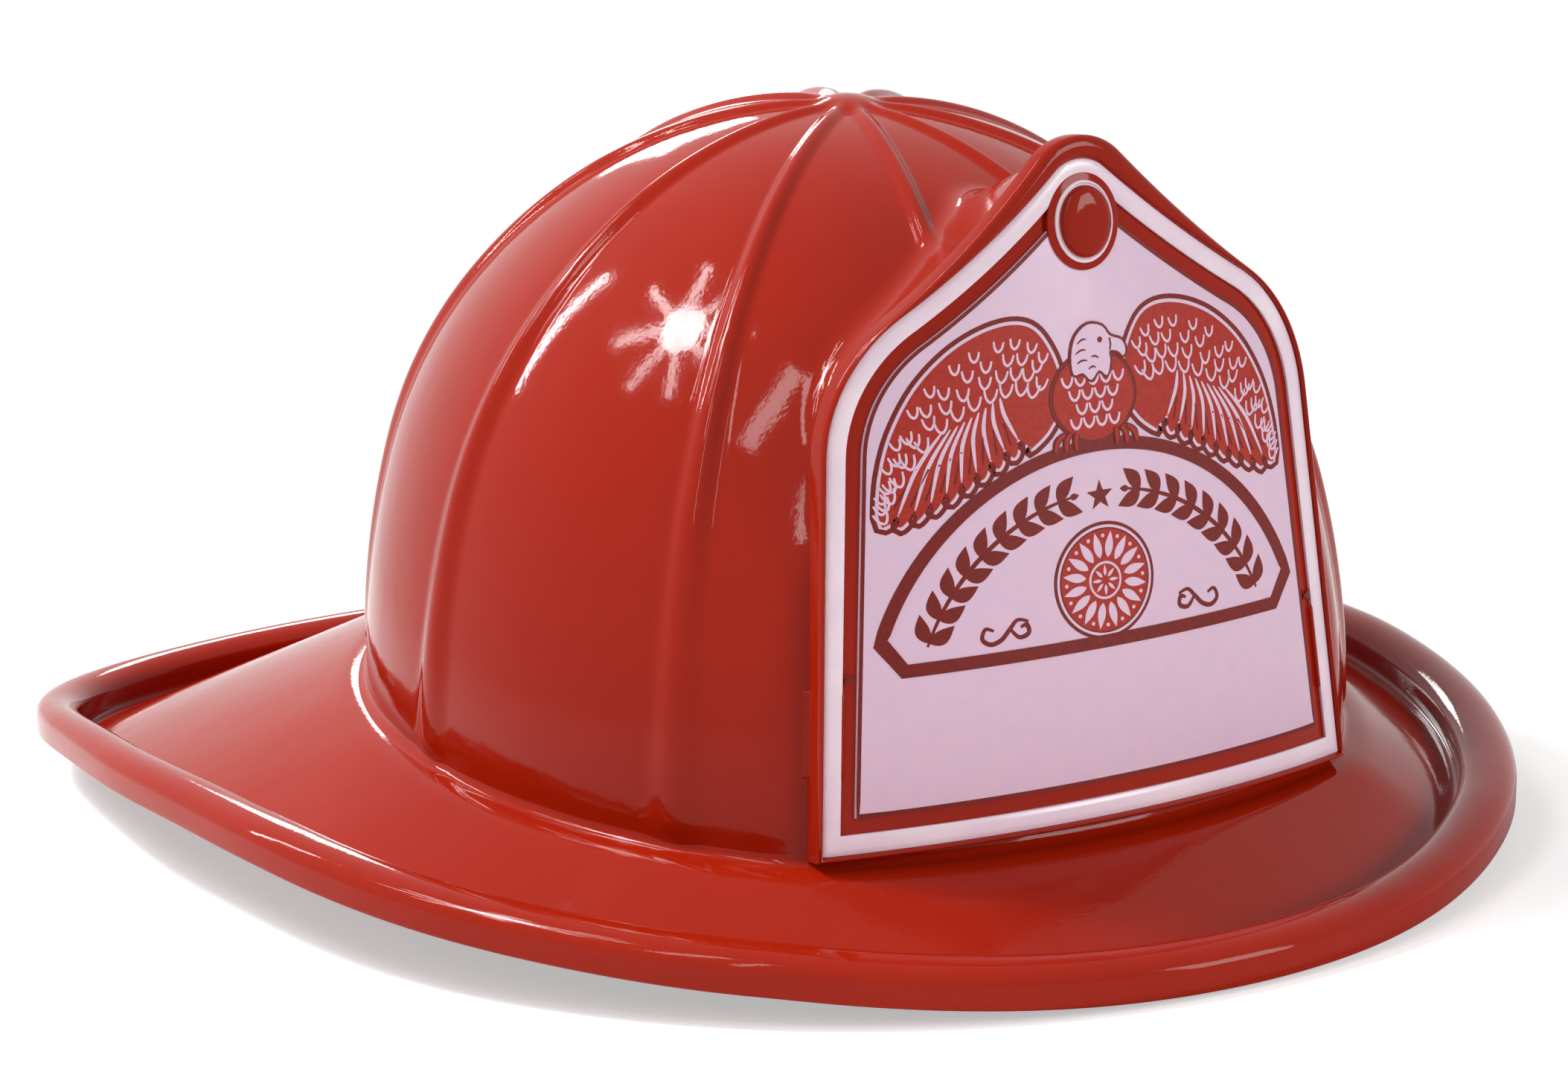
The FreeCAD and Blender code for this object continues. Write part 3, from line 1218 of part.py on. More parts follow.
def make_key(label, angle):
    """Plate on the headband with a stud, a foot outwards and a blade up into its socket."""
    body = new_body(f"{label}_body")
    profile = new_sketch(body, f"{label}_profile", "XZ_Plane")
    near, far = "Sizes.key_face", "Sizes.key_face + Sizes.key_thickness"
    blade, back = "Sizes.key_reach", "Sizes.key_reach + Sizes.key_thickness"
    low = "Sizes.nape_z + Sizes.strap_height / 2 + Sizes.key_lift"
    foot = "Sizes.socket_low - Sizes.key_gap"
    top = "Sizes.web_spring"
    inward = "Sizes.key_face - Sizes.key_foot"
    deck = "Sizes.band_high + Sizes.key_deck"
    loop(profile, [(inward, low), (back, low), (back, "Sizes.socket_high - Sizes.key_gap"),
                   (blade, "Sizes.socket_high - Sizes.key_gap"), (blade, foot), (far, foot),
                   (far, top), (near, top), (near, deck), (inward, deck)])
    pad(body, profile, "Sizes.key_width", both=True)
    for side in (-1, 1):
        cheek = new_sketch(body, f"{label}_cheek_{side + 1}")
        inner = f"{side} * (Sizes.key_width / 2 - Sizes.key_shoulder)"
        outer = f"{side} * Sizes.key_width"
        left, right = (outer, inner) if side < 0 else (inner, outer)
        rectangle(cheek, f"{blade} - Sizes.key_gap", left, f"{back} + Sizes.key_gap", right)
        raise_sketch(cheek, foot)
        pocket(body, cheek, "Sizes.socket_high", up=True)
    body.Placement = key_place(angle)
    seat = doc.addObject("Part::Cylinder", f"{label}_seat")
    seat.setExpression("Radius", f"{BAND_OUT} + Sizes.glue_gap")
    seat.setExpression("Height", "2 * Sizes.crown_height")
    rearward = 1 if abs(angle) < 90 else -1
    place(seat, "0", f"{rearward} * {REAR_CENTRE}", "-Sizes.crown_height")
    carved = doc.addObject("Part::Cut", f"{label}_carved")
    carved.Base = body
    carved.Tool = seat
    stud = doc.addObject("Part::Cylinder", f"{label}_stud")
    stud.setExpression("Radius", "Sizes.key_stud")
    stud.setExpression("Height", "Sizes.key_stud_length")
    stud.Placement = Placement(Vector(), Rotation(Vector(0, 0, 1), Vector(
        math.sin(math.radians(angle)), math.cos(math.radians(angle)), 0)))
    reach = "(Sizes.key_face - Sizes.key_stud_reach)"
    place(stud, f"{reach} * sin({angle})", f"{reach} * cos({angle})", "Sizes.key_stud_z")
    key = doc.addObject("Part::Fuse", label)
    key.Base = carved
    key.Tool = stud
    key.Label = label
    doc.recompute()
    return key


def make_crown_strap(label, angle, layer):
    """Webbing over the head between two keys; layer 1 crosses above layer 0."""
    thick = size("web_thickness")
    outer = size("key_face") - size("pad_gap")
    rise = size("web_rise") + layer * (thick + size("pad_gap")) - size("web_spring")

    def arch(reach, height):
        ellipse_curve = Part.Ellipse(Vector(), reach, height)
        return Part.Arc(ellipse_curve, 0, math.pi).toShape()

    outside = arch(outer, rise + thick)
    inside = arch(outer - thick, rise)
    drop = Vector(0, size("web_low") - size("web_spring"), 0)
    edges = [outside, inside]
    for side in (1, -1):
        near = Vector(side * (outer - thick), 0, 0)
        far = Vector(side * outer, 0, 0)
        corners = [near, near + drop, far + drop, far]
        edges += [Part.makeLine(one, two) for one, two in zip(corners, corners[1:])]
    face = Part.Face(Part.Wire(Part.__sortEdges__(edges)))
    width = size("web_width")
    strap = face.extrude(Vector(0, 0, width))
    strap.translate(Vector(0, 0, -width / 2))
    strap.rotate(Vector(), Vector(1, 0, 0), 90)
    strap.rotate(Vector(), Vector(0, 0, 1), 90 - angle)
    strap.translate(Vector(0, 0, size("web_spring")))
    hole = Part.makeCylinder(size("crown_rivet") + size("pad_gap"), 3 * size("web_spring"))
    return computed(label, strap.cut(hole))


def make_crown_rivet():
    """Two-headed rivet through both crown straps."""
    body = new_body("crown_rivet")
    profile = new_sketch(body, "crown_rivet_profile", "XZ_Plane")
    low = "Sizes.web_rise - Sizes.pad_gap"
    high = "Sizes.web_rise + 2 * Sizes.web_thickness + 2 * Sizes.pad_gap"
    shank = "Sizes.crown_rivet"
    flange = "Sizes.crown_rivet + Sizes.rivet_flange"
    foot, edge = f"{low} - Sizes.rivet_head", f"{high} + Sizes.head_height"
    loop(profile, [("0", foot), (flange, foot), (flange, low), (shank, low), (shank, high),
                   (flange, high), (flange, edge), ("0", f"{high} + Sizes.rivet_head")])
    revolve(body, profile)
    return body


def make_pad(label, centre, near, far, start, end, low, high):
    body = new_body(label)
    arc_strip(body, near, far, start, end, low, high)
    place(body, "0", centre, "0")
    return body


# --- the whole helmet ----------------------------------------------------------------------

NODES = [computed("shell", shell_shape())]
NODES += [make_frontpiece(), make_shield_border(), make_shield_face(), make_peak_stud()]
NODES.append(oval_on_plate("stud_ring", "Sizes.stud_ring", "Sizes.stud_proud / 3", "Sizes.glue_gap"))
NODES += [make_push_nuts(), make_headband()]
NODES.append(make_size_strap("size_strap_right", -1, RIGHT_STRAP_IN))
NODES.append(make_size_strap("size_strap_left", 1, LEFT_STRAP_IN))
NODES += [make_pinion(), make_ratchet_base(), make_ratchet_cover(), make_cover_screws()]
NODES += [make_knob(), make_knob_screw(), make_strap_studs()]
NODES += [make_key(f"suspension_key_{name}", angle) for name, angle in key_angles().items()]
NODES.append(make_crown_strap("crown_strap_lower", size("key_angle"), 0))
NODES.append(make_crown_strap("crown_strap_upper", -size("key_angle"), 1))
NODES.append(make_crown_rivet())
PAD_OUT = "Sizes.band_radius - Sizes.pad_gap"
NODES.append(make_pad("brow_pad", f"-({REAR_CENTRE})", f"{PAD_OUT} - Sizes.pad_thickness", PAD_OUT,
                      "180 - Sizes.brow_half_angle", "180 + Sizes.brow_half_angle",
                      "Sizes.band_low + Sizes.pad_edge", "Sizes.band_high - Sizes.pad_edge"))
NAPE_OUT = f"{BASE_IN} - Sizes.pad_gap"
NODES.append(make_pad("nape_pad", REAR_CENTRE, f"{NAPE_OUT} - Sizes.pad_thickness", NAPE_OUT,
                      "-Sizes.nape_half_angle", "Sizes.nape_half_angle",
                      "Sizes.nape_z - Sizes.nape_half_height",
                      "Sizes.nape_z + Sizes.nape_half_height"))
doc.recompute()

for item in doc.Objects:
    if "Invalid" in item.State or "Error" in item.State:
        raise ValueError(f"{item.Label} did not build: {item.State}")
for node in NODES:
    if node.Shape.isNull() or not node.Shape.isValid() or not node.Shape.Solids:
        raise ValueError(f"{node.Label} has no valid solid")
for node in NODES:
    node.Shape.exportStep(f"parts/{node.Label}.step")
    print(f"{node.Label}: {len(node.Shape.Solids)} solid(s), {node.Shape.Volume:.0f} mm3")
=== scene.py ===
import json
import math
import bmesh
import bpy
import numpy as np
from mathutils import Matrix, Vector


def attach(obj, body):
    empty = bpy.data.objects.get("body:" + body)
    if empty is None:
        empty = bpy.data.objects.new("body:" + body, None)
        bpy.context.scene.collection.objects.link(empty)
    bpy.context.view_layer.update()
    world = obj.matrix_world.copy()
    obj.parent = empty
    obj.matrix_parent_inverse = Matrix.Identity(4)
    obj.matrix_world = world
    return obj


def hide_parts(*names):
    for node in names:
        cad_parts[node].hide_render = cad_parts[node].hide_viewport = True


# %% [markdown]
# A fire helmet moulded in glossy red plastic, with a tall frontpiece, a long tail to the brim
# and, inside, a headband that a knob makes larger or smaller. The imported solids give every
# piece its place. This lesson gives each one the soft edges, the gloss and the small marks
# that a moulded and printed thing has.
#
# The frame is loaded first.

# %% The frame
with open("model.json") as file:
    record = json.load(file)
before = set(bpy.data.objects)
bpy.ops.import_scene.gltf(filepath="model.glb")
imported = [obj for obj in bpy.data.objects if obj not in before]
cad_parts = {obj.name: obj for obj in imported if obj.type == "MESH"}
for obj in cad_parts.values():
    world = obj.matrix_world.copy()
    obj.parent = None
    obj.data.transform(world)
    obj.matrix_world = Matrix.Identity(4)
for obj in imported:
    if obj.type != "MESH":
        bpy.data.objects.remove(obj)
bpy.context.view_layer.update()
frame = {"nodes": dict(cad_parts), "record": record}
MM = 0.001
print("pieces in the frame:", len(frame["nodes"]))

# %% [markdown]
# The camera stands a metre away, ahead of the helmet and on the wearer's right, a little
# above the brim. A long lens keeps the crown from bulging towards the viewer. A camera is
# aimed by turning its own minus Z axis along the line to its target.

# %% Camera
eye = Vector((-0.5344, -0.8937, 0.3528))
target = Vector((-0.00041, 0.02745, 0.02821))
camera = bpy.data.objects.new("camera", bpy.data.cameras.new("camera"))
bpy.context.scene.collection.objects.link(camera)
bpy.context.scene.camera = camera
camera.location = eye
camera.rotation_euler = (target - eye).to_track_quat("-Z", "Y").to_euler()
camera.data.lens = 111.9
camera.data.sensor_width = 36
print("camera distance:", round((target - eye).length, 3), "m")

# %% [markdown]
# Moulded plastic shows its shape by what it mirrors, so the lamps are shapes as much as
# lights. A round umbrella with four crossed tubes stands high on the wearer's right and gives
# the bright star on the crown. Three narrow strips draw lines along the ribs and the rim. A
# wide fill on the other side and a small lamp behind lift the shaded parts. The world is
# white to the camera and to reflections, and only a dim grey to the surfaces that it lights.

# %% Lamps


def lamp(name, place, aim, width, height, power, roll=0, shape="RECTANGLE"):
    light = bpy.data.lights.new(name, "AREA")
    light.shape = shape
    light.size = width
    light.size_y = height
    light.energy = power
    holder = bpy.data.objects.new(name, light)
    bpy.context.scene.collection.objects.link(holder)
    holder.location = place
    turn = (Vector(aim) - Vector(place)).to_track_quat("-Z", "Y").to_matrix()
    holder.rotation_euler = (turn @ Matrix.Rotation(math.radians(roll), 3, "Z")).to_euler()


UMBRELLA, CROWN_SIDE, CROWN_MIDDLE = (-0.67, 0.45, 1.01), (-0.06, -0.04, 0.1), (-0.03, 0, 0.05)
lamp("umbrella", UMBRELLA, CROWN_SIDE, 0.20, 0.20, 6.4, shape="DISK")
for spoke in range(4):
    lamp(f"umbrella_spoke_{spoke}", UMBRELLA, CROWN_SIDE, 0.62, 0.04, 2.3, 15 + 45 * spoke)
lamp("strip", (-0.95, -0.55, 0.95), CROWN_MIDDLE, 0.05, 0.7, 1.6)
lamp("window", (-0.78, -0.14, 1.05), CROWN_MIDDLE, 0.09, 0.45, 1.8)
lamp("edge", (-0.57, 0.95, 0.63), CROWN_MIDDLE, 0.03, 0.45, 2.2, 25)
lamp("fill", (0.70, -1.35, 0.60), (0, 0, 0.02), 0.6, 0.6, 11.0)
lamp("rear", (0.34, 1.13, 0.40), (0, 0, 0.05), 0.22, 0.22, 2.0)

# %% World
world = bpy.data.worlds.new("studio")
bpy.context.scene.world = world
world.use_nodes = True
sky = world.node_tree
dim = sky.nodes["Background"]
dim.inputs["Color"].default_value = (1, 0.98, 0.97, 1)
dim.inputs["Strength"].default_value = 0.25
white = sky.nodes.new("ShaderNodeBackground")
white.inputs["Color"].default_value = (1, 1, 1, 1)
rays = sky.nodes.new("ShaderNodeLightPath").outputs
seen, reflected = [sky.nodes.new("ShaderNodeMath") for _ in range(2)]
seen.operation = reflected.operation = "MAXIMUM"
choice = sky.nodes.new("ShaderNodeMixShader")
for output, socket in (
        (rays["Is Glossy Ray"], reflected.inputs[0]),
        (rays["Is Transmission Ray"], reflected.inputs[1]),
        (rays["Is Camera Ray"], seen.inputs[0]), (reflected.outputs[0], seen.inputs[1]),
        (seen.outputs[0], choice.inputs[0]), (dim.outputs[0], choice.inputs[1]),
        (white.outputs[0], choice.inputs[2]),
        (choice.outputs[0], sky.nodes["World Output"].inputs["Surface"])):
    sky.links.new(output, socket)
bpy.context.scene.view_settings.view_transform = "Standard"
print("world nodes:", len(sky.nodes))

# %% [markdown]
# A pattern in a material is arithmetic on numbers that run over the surface. Written as
# nodes it fills a screen, so this small class lets it be written as a formula: it holds one
# socket, and its operators add the Math nodes.

# %% Shader maths


class Sums:
    """One output socket that can be used in a formula."""

    def __init__(self, material, socket):
        self.material = material
        self.socket = socket

    def maths(self, operation, *others):
        return self.material.node("ShaderNodeMath", {"operation": operation},
                                  dict(enumerate((self,) + others)))

    def __add__(self, other):
        return self.maths("ADD", other)

    def __sub__(self, other):
        return self.maths("SUBTRACT", other)

    def __mul__(self, other):
        return self.maths("MULTIPLY", other)

    def __truediv__(self, other):
        return self.maths("DIVIDE", other)


class Finish:
    """A material with one Principled shader, and short ways to feed it."""

    def __init__(self, name, **constants):
        self.data = bpy.data.materials.new(name)
        self.data.use_nodes = True
        self.tree = self.data.node_tree
        self.shader = self.tree.nodes["Principled BSDF"]
        for socket, value in constants.items():
            self.shader.inputs[socket.replace("_", " ")].default_value = value

    def node(self, kind, settings=None, inputs=None, output=0):
        made = self.tree.nodes.new(kind)
        for key, value in (settings or {}).items():
            setattr(made, key, value)
        for key, value in (inputs or {}).items():
            if isinstance(value, Sums):
                self.tree.links.new(value.socket, made.inputs[key])
            else:
                made.inputs[key].default_value = value
        return Sums(self, made.outputs[output])

    def place(self):
        return self.node("ShaderNodeTexCoord", output="Object")

    def noise(self, scale, detail=3.0, **more):
        return self.node("ShaderNodeTexNoise", {}, {
            "Vector": self.place(), "Scale": scale, "Detail": detail, **more})

    def ramp(self, value, low, first, high, second):
        """Colour that goes from the first to the second as the value goes from low to high."""
        made = self.node("ShaderNodeValToRGB", {}, {"Fac": value})
        ends = made.socket.node.color_ramp.elements
        for end, place, shade in zip(ends, (low, high), (first, second)):
            end.position = place
            end.color = colour(*shade)
        return made

    def spread(self, value, low, high, first, second):
        """Number that goes from the first to the second as the value goes from low to high."""
        return self.node("ShaderNodeMapRange", {}, {
            "Value": value, "From Min": low, "From Max": high, "To Min": first, "To Max": second})

    def bump(self, height, distance, strength=1.0):
        return self.node("ShaderNodeBump", {}, {
            "Height": height, "Distance": distance, "Strength": strength})

    def feed(self, **values):
        for socket, value in values.items():
            self.tree.links.new(value.socket, self.shader.inputs[socket.replace("_", " ")])


def colour(red, green, blue):
    """Linear colour from the familiar 0 to 255 steps."""
    steps = [value / 255 for value in (red, green, blue)]
    return tuple(v / 12.92 if v <= 0.04045 else ((v + 0.055) / 1.055) ** 2.4
                 for v in steps) + (1.0,)


# %% [markdown]
# The floor only carries the shadow. The helmet stands on the two corners of its tail and on
# the front of its rim, so the floor tilts a few degrees to touch all three.

# %% Floor
tail = Vector((0, 0.205, -0.0545))
brow = Vector((0, -0.157, -0.0168))
floor_bm = bmesh.new()
bmesh.ops.create_grid(floor_bm, x_segments=1, y_segments=1, size=4)
tilt = (brow - tail).to_track_quat("-Y", "Z").to_matrix().to_4x4()
bmesh.ops.transform(floor_bm, matrix=Matrix.Translation((brow + tail) / 2) @ tilt,
                    verts=floor_bm.verts)
floor_mesh = bpy.data.meshes.new("floor")
floor_bm.to_mesh(floor_mesh)
floor = bpy.data.objects.new("floor", floor_mesh)
bpy.context.scene.collection.objects.link(floor)
pale = Finish("pale_floor", Base_Color=(0.9, 0.9, 0.9, 1), Roughness=1.0, Specular_IOR_Level=0.0)
centred = pale.node("ShaderNodeMapping", {}, {
    "Vector": pale.place(), "Location": (0, 0, 0.035)})
from_middle = pale.node("ShaderNodeVectorMath", {"operation": "LENGTH"}, {0: centred}, output=1)
fading = pale.node("ShaderNodeMapRange", {"interpolation_type": "SMOOTHSTEP"}, {
    "Value": from_middle, "From Min": 0.24, "From Max": 0.62})
lit = pale.node("ShaderNodeLightPath", output="Is Camera Ray")
glow = pale.node("ShaderNodeEmission", {}, {"Color": (1, 1, 1, 1), "Strength": lit * 0.45})
gone = pale.node("ShaderNodeBsdfTransparent")
both = pale.node("ShaderNodeAddShader", {}, {0: glow})
pale.tree.links.new(pale.shader.outputs[0], both.socket.node.inputs[1])
faded = pale.node("ShaderNodeMixShader", {}, {0: fading, 1: both, 2: gone})
pale.tree.links.new(faded.socket, pale.tree.nodes["Material Output"].inputs["Surface"])
floor.data.materials.append(pale.data)
print("floor tilt:", round(math.degrees(math.atan2(brow.z - tail.z, tail.y - brow.y)), 2))

# %% [markdown]
# Every new piece goes through one door: its faces are turned outwards, edges sharper than a
# given angle stay crisp and all others are shaded smooth. It then rides on the body that
# carries it and, where it stands for a imported solid, hides that one. Most new meshes start
# as a flat grid whose rows are laid, one by one, along the piece's surface.

# %% Helpers for pieces


def piece(name, bm, finish, stands_for=(), crisp=50, body="helmet", turn=True):
    """Make an object of a mesh; crisp is the angle beyond which an edge stays sharp."""
    if turn:
        bmesh.ops.recalc_face_normals(bm, faces=bm.faces)
    limit = math.radians(crisp)
    for face in bm.faces:
        face.smooth = True
    for edge in bm.edges:
        edge.smooth = not (edge.is_manifold and edge.calc_face_angle() > limit)
    mesh = bpy.data.meshes.new(name)
    bm.to_mesh(mesh)
    bm.free()
    made = bpy.data.objects.new(name, mesh)
    bpy.context.scene.collection.objects.link(made)
    made.data.materials.append(finish.data)
    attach(made, body)
    if stands_for:
        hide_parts(*stands_for)
    print(f"{name}: {len(mesh.polygons)} faces")
    return made


def rounded(made, width):
    """Finish a piece with a small rounding on its crisp edges."""
    bevel = made.modifiers.new("rounding", "BEVEL")
    bevel.width = width * MM
    bevel.segments = 2
    bevel.limit_method = "ANGLE"
    bevel.angle_limit = math.radians(30)
    bevel.harden_normals = False
    return made


def polished(node, finish, width):
    """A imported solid's own shape with its triangles joined and its edges rounded."""
    bm = bmesh.new()
    bm.from_mesh(frame["nodes"][node].data)
    bmesh.ops.remove_doubles(bm, verts=bm.verts, dist=0.002 * MM)
    bmesh.ops.dissolve_limit(bm, angle_limit=math.radians(0.6), verts=bm.verts, edges=bm.edges)
    body = next(b for b, members in frame["record"]["behaviour"]["bodies"].items()
                if node in members)
    return rounded(piece(f"{node}_finished", bm, finish, stands_for=(node,), crisp=30, body=body,
                         turn=False), width)


def wrapped(rows, weld, uv=None):
    """Grid laid along rows of places; uv gives the map's place at a row and a column."""
    down, across = len(rows) - 1, len(rows[0]) - 1
    bm = bmesh.new()
    layer = bm.loops.layers.uv.new("UVMap") if uv else None
    bmesh.ops.create_grid(bm, x_segments=across, y_segments=down, size=0.5, calc_uvs=bool(uv))
    crossings = {vertex: (round((vertex.co.y + 0.5) * down), round((vertex.co.x + 0.5) * across))
                 for vertex in bm.verts}
    for face in bm.faces if uv else ():
        for loop in face.loops:
            loop[layer].uv = uv(*crossings[loop.vert])
    for vertex, (row, column) in crossings.items():
        vertex.co = rows[row][column]
    bmesh.ops.remove_doubles(bm, verts=bm.verts, dist=weld)
    return bm


def fill_ends(bm):
    bmesh.ops.holes_fill(bm, edges=[edge for edge in bm.edges if edge.is_boundary], sides=0)


def pulled(bm, ring):
    """Extrude a ring of edges, and return the new edges and vertices."""
    out = bmesh.ops.extrude_edge_only(bm, edges=ring)["geom"]
    return ([item for item in out if isinstance(item, bmesh.types.BMEdge)],
            [item for item in out if isinstance(item, bmesh.types.BMVert)])


# %% [markdown]
# ## Red plastic
# The real thing is one thickness of glossy polyethylene or styrene. Its gloss isn't perfect:
# the skin has a very slight waviness from the mould, fine scuffs that dull the highlights
# in places, and a slightly deeper colour where the wall is thick. The base colour moves by
# a few percent only, because a moulded colour goes right through.

# %% Red plastic
red = Finish("red_moulded", Specular_IOR_Level=0.15)
cloudy = red.noise(9.0, 4.0)
red_skin = red.ramp(cloudy, 0.35, (153, 28, 6), 0.65, (160, 31, 8))
scuffs = red.noise(60.0, 6.0, Roughness=0.7)
dulling = red.spread(scuffs, 0.45, 0.75, 0.06, 0.12)
wavy = red.noise(38.0, 2.0)
grain = red.noise(900.0, 2.0)
red.feed(Base_Color=red_skin, Roughness=dulling,
         Normal=red.bump(wavy + grain * 0.06, 0.00045, 0.6))
print("red nodes:", len(red.tree.nodes))

# %% [markdown]
# ## The shell
# Crown, ribs, hood and brim are one moulding with one thickness of wall. Seen from the
# middle of the head opening, each of them lies in a known direction at a known distance,
# so the whole outside can be wrapped from one flat sheet: a grid whose columns go round
# the helmet and whose rows run from the button down the crown, out along the brim, over
# the rolled rim and back inside. The grid keeps its quads even, which glossy plastic needs.
#
# The crown's profile is a basket arch of three tangent arcs.

# %% Crown profile


def leftwards(way):
    return np.array([-way[1], way[0]])


def meeting(first, second, near, far, side):
    """Point at two distances from two others, left (1) or right (-1) of the line they make."""
    line = second - first
    span = np.linalg.norm(line)
    unit = line / span
    along = (near ** 2 - far ** 2 + span ** 2) / (2 * span)
    return first + unit * along + side * leftwards(unit) * math.sqrt(near ** 2 - along ** 2)


WALL = 2.2
HALF_LENGTH, HALF_WIDTH, HEIGHT = 122.5, 104.0, 133.0
SQUEEZE = HALF_WIDTH / HALF_LENGTH
TOP, HAUNCH, SIDE = 124.7, 102.0, 184.0
top_centre = np.array([0, HEIGHT - TOP])
side_centre = np.array([HALF_LENGTH - SIDE, 0])
haunch_centre = meeting(side_centre, top_centre, SIDE - HAUNCH, TOP - HAUNCH, 1)


def join(centre, radius):
    heading = haunch_centre - centre
    return centre + heading / np.linalg.norm(heading) * radius


low_join, high_join = join(side_centre, SIDE), join(top_centre, TOP)
low_turn = math.atan2(low_join[1], low_join[0])
high_turn = math.atan2(high_join[1], high_join[0])
print("arcs change at", round(math.degrees(low_turn)), "and", round(math.degrees(high_turn)),
      "degrees up")


def crown_distance(aim):
    """Distance to the plain crown along unit directions, and its outward normal."""
    round_aim = aim * np.array([1 / SQUEEZE, 1, 1])
    flat = np.hypot(round_aim[:, 0], round_aim[:, 1])
    length = np.linalg.norm(round_aim, axis=1)
    turn = np.arctan2(round_aim[:, 2], flat)
    ray = np.stack([np.cos(turn), np.sin(turn)], 1)
    reach = np.zeros(len(aim))
    centre = np.zeros((len(aim), 2))
    for low, high, middle, radius in ((-9, low_turn, side_centre, SIDE),
                                      (low_turn, high_turn, haunch_centre, HAUNCH),
                                      (high_turn, 9, top_centre, TOP)):
        mine = (turn > low) & (turn <= high)
        dot = ray[mine] @ middle
        reach[mine] = dot + np.sqrt(dot ** 2 - middle @ middle + radius ** 2)
        centre[mine] = middle
    out = ray * reach[:, None] - centre
    out /= np.linalg.norm(out, axis=1)[:, None]
    flat = np.maximum(flat, 1e-9)
    normal = np.stack([round_aim[:, 0] / flat * out[:, 0] / SQUEEZE,
                       round_aim[:, 1] / flat * out[:, 0], out[:, 1]], 1)
    normal /= np.linalg.norm(normal, axis=1)[:, None]
    return reach / length, normal


# %% [markdown]
# The frontpiece leans back and is bent like part of a tall cylinder, and the front of the
# shell is flattened to the same bend. Above the crown a hood closes the gap behind the
# frontpiece: it has the frontpiece's outline and gets smaller backwards until it sinks
# into the crown. The outline is an ogee, with a straight side, a round shoulder, a hollow
# sweep and a round peak, tangent in turn.

# %% Frontpiece frame and outline
LEAN = math.radians(8.4)
FRONT, BEND = 110.8, 176.0
PLATE_BACK = 3.2
UP = np.array([0, math.sin(LEAN), math.cos(LEAN)])
BACK = np.array([0, math.cos(LEAN), -math.sin(LEAN)])
FOOT = np.array([0, -FRONT, 0.0])
WALL_BEND = BEND - PLATE_BACK - 0.05
SHOULDER, PEAK = np.array([23.5, 82.5]), np.array([0, 131.0])
SHOULDER_RADIUS, HOLLOW_RADIUS, PEAK_RADIUS = 34.8, 230.0, 9.0
FOOT_HALF, FOOT_HEIGHT = 64.5, 4.5


class Ogee:
    """Half outline of the frontpiece, grown by a margin outside the white border."""

    def __init__(self, margin, peak_margin=None):
        peak_margin = margin if peak_margin is None else peak_margin
        self.radii = [SHOULDER_RADIUS + margin, HOLLOW_RADIUS - margin, PEAK_RADIUS + peak_margin]
        self.foot = np.array([FOOT_HALF + margin, FOOT_HEIGHT - margin])
        away = SHOULDER - self.foot
        length = np.linalg.norm(away)
        turn = math.atan2(away[1], away[0]) - math.asin(self.radii[0] / length)
        reach = math.sqrt(length ** 2 - self.radii[0] ** 2)
        self.side = self.foot + np.array([math.cos(turn), math.sin(turn)]) * reach
        one, two = self.radii[1] + self.radii[0], self.radii[1] + self.radii[2]
        hollow = meeting(SHOULDER, PEAK, one, two, -1)
        self.centres = [SHOULDER, hollow, PEAK]
        self.high = SHOULDER + (hollow - SHOULDER) / one * self.radii[0]
        self.neck = PEAK + (hollow - PEAK) / two * self.radii[2]

    def points(self):
        """Closed outline, the same number of points for any margin."""
        right = [self.foot + (self.side - self.foot) * i / 24 for i in range(24)]
        ends = [(self.side, self.high), (self.high, self.neck),
                (self.neck, self.centres[2] + np.array([0, self.radii[2]]))]
        for count, centre, radius, (start, end) in zip((22, 22, 14), self.centres, self.radii,
                                                       ends):
            first = math.atan2(*(start - centre)[::-1])
            last = math.atan2(*(end - centre)[::-1])
            swing = (last - first + math.pi) % (2 * math.pi) - math.pi
            for i in range(count):
                turn = first + swing * i / count
                right.append(centre + radius * np.array([math.cos(turn), math.sin(turn)]))
        right.append(ends[-1][1])
        left = [point * np.array([-1, 1]) for point in right[-2::-1]]
        low = [left[-1] + (right[0] - left[-1]) * i / 20 for i in range(1, 20)]
        return np.array(right + left + low)

    def inside(self, u, v):
        """Roughly how far points are inside the outline; negative outside."""
        u = np.abs(u)
        shoulder, hollow, peak = self.centres
        step = self.side - self.foot
        step = step / np.linalg.norm(step)
        side = -(step[1] * (u - self.foot[0]) - step[0] * (v - self.foot[1]))
        round_part = self.radii[0] - np.hypot(u - shoulder[0], v - shoulder[1])
        sweep = np.hypot(u - hollow[0], v - hollow[1]) - self.radii[1]
        top = self.radii[2] - np.hypot(u, v - peak[1])
        body = np.where(v < self.side[1], side, np.where(
            (u > self.high[0]) | (v < shoulder[1]), round_part, sweep))
        return np.where((v > self.neck[1]) & (v >= peak[1]), top, body)


print("white border height:", round(np.ptp(Ogee(0).points()[:, 1]), 1), "mm along its lean")

# %% Distances from the middle of the head opening


def front_distance(aim):
    """Distance to the leaning, bent front wall."""
    flat = aim - (aim @ UP)[:, None] * UP
    axis = FOOT + BACK * BEND
    axis = axis - (axis @ UP) * UP
    square = (flat ** 2).sum(1)
    dot = flat @ axis
    inner = np.maximum(dot ** 2 - square * (axis @ axis - WALL_BEND ** 2), 0)
    return (dot + np.sqrt(inner)) / np.maximum(square, 1e-9)


hood_outline = Ogee(1.0, 4.4)
HOOD_DEPTH, NARROWING, FOCUS, HOOD_STEP = 60.0, 0.72, 70.0, 1.5


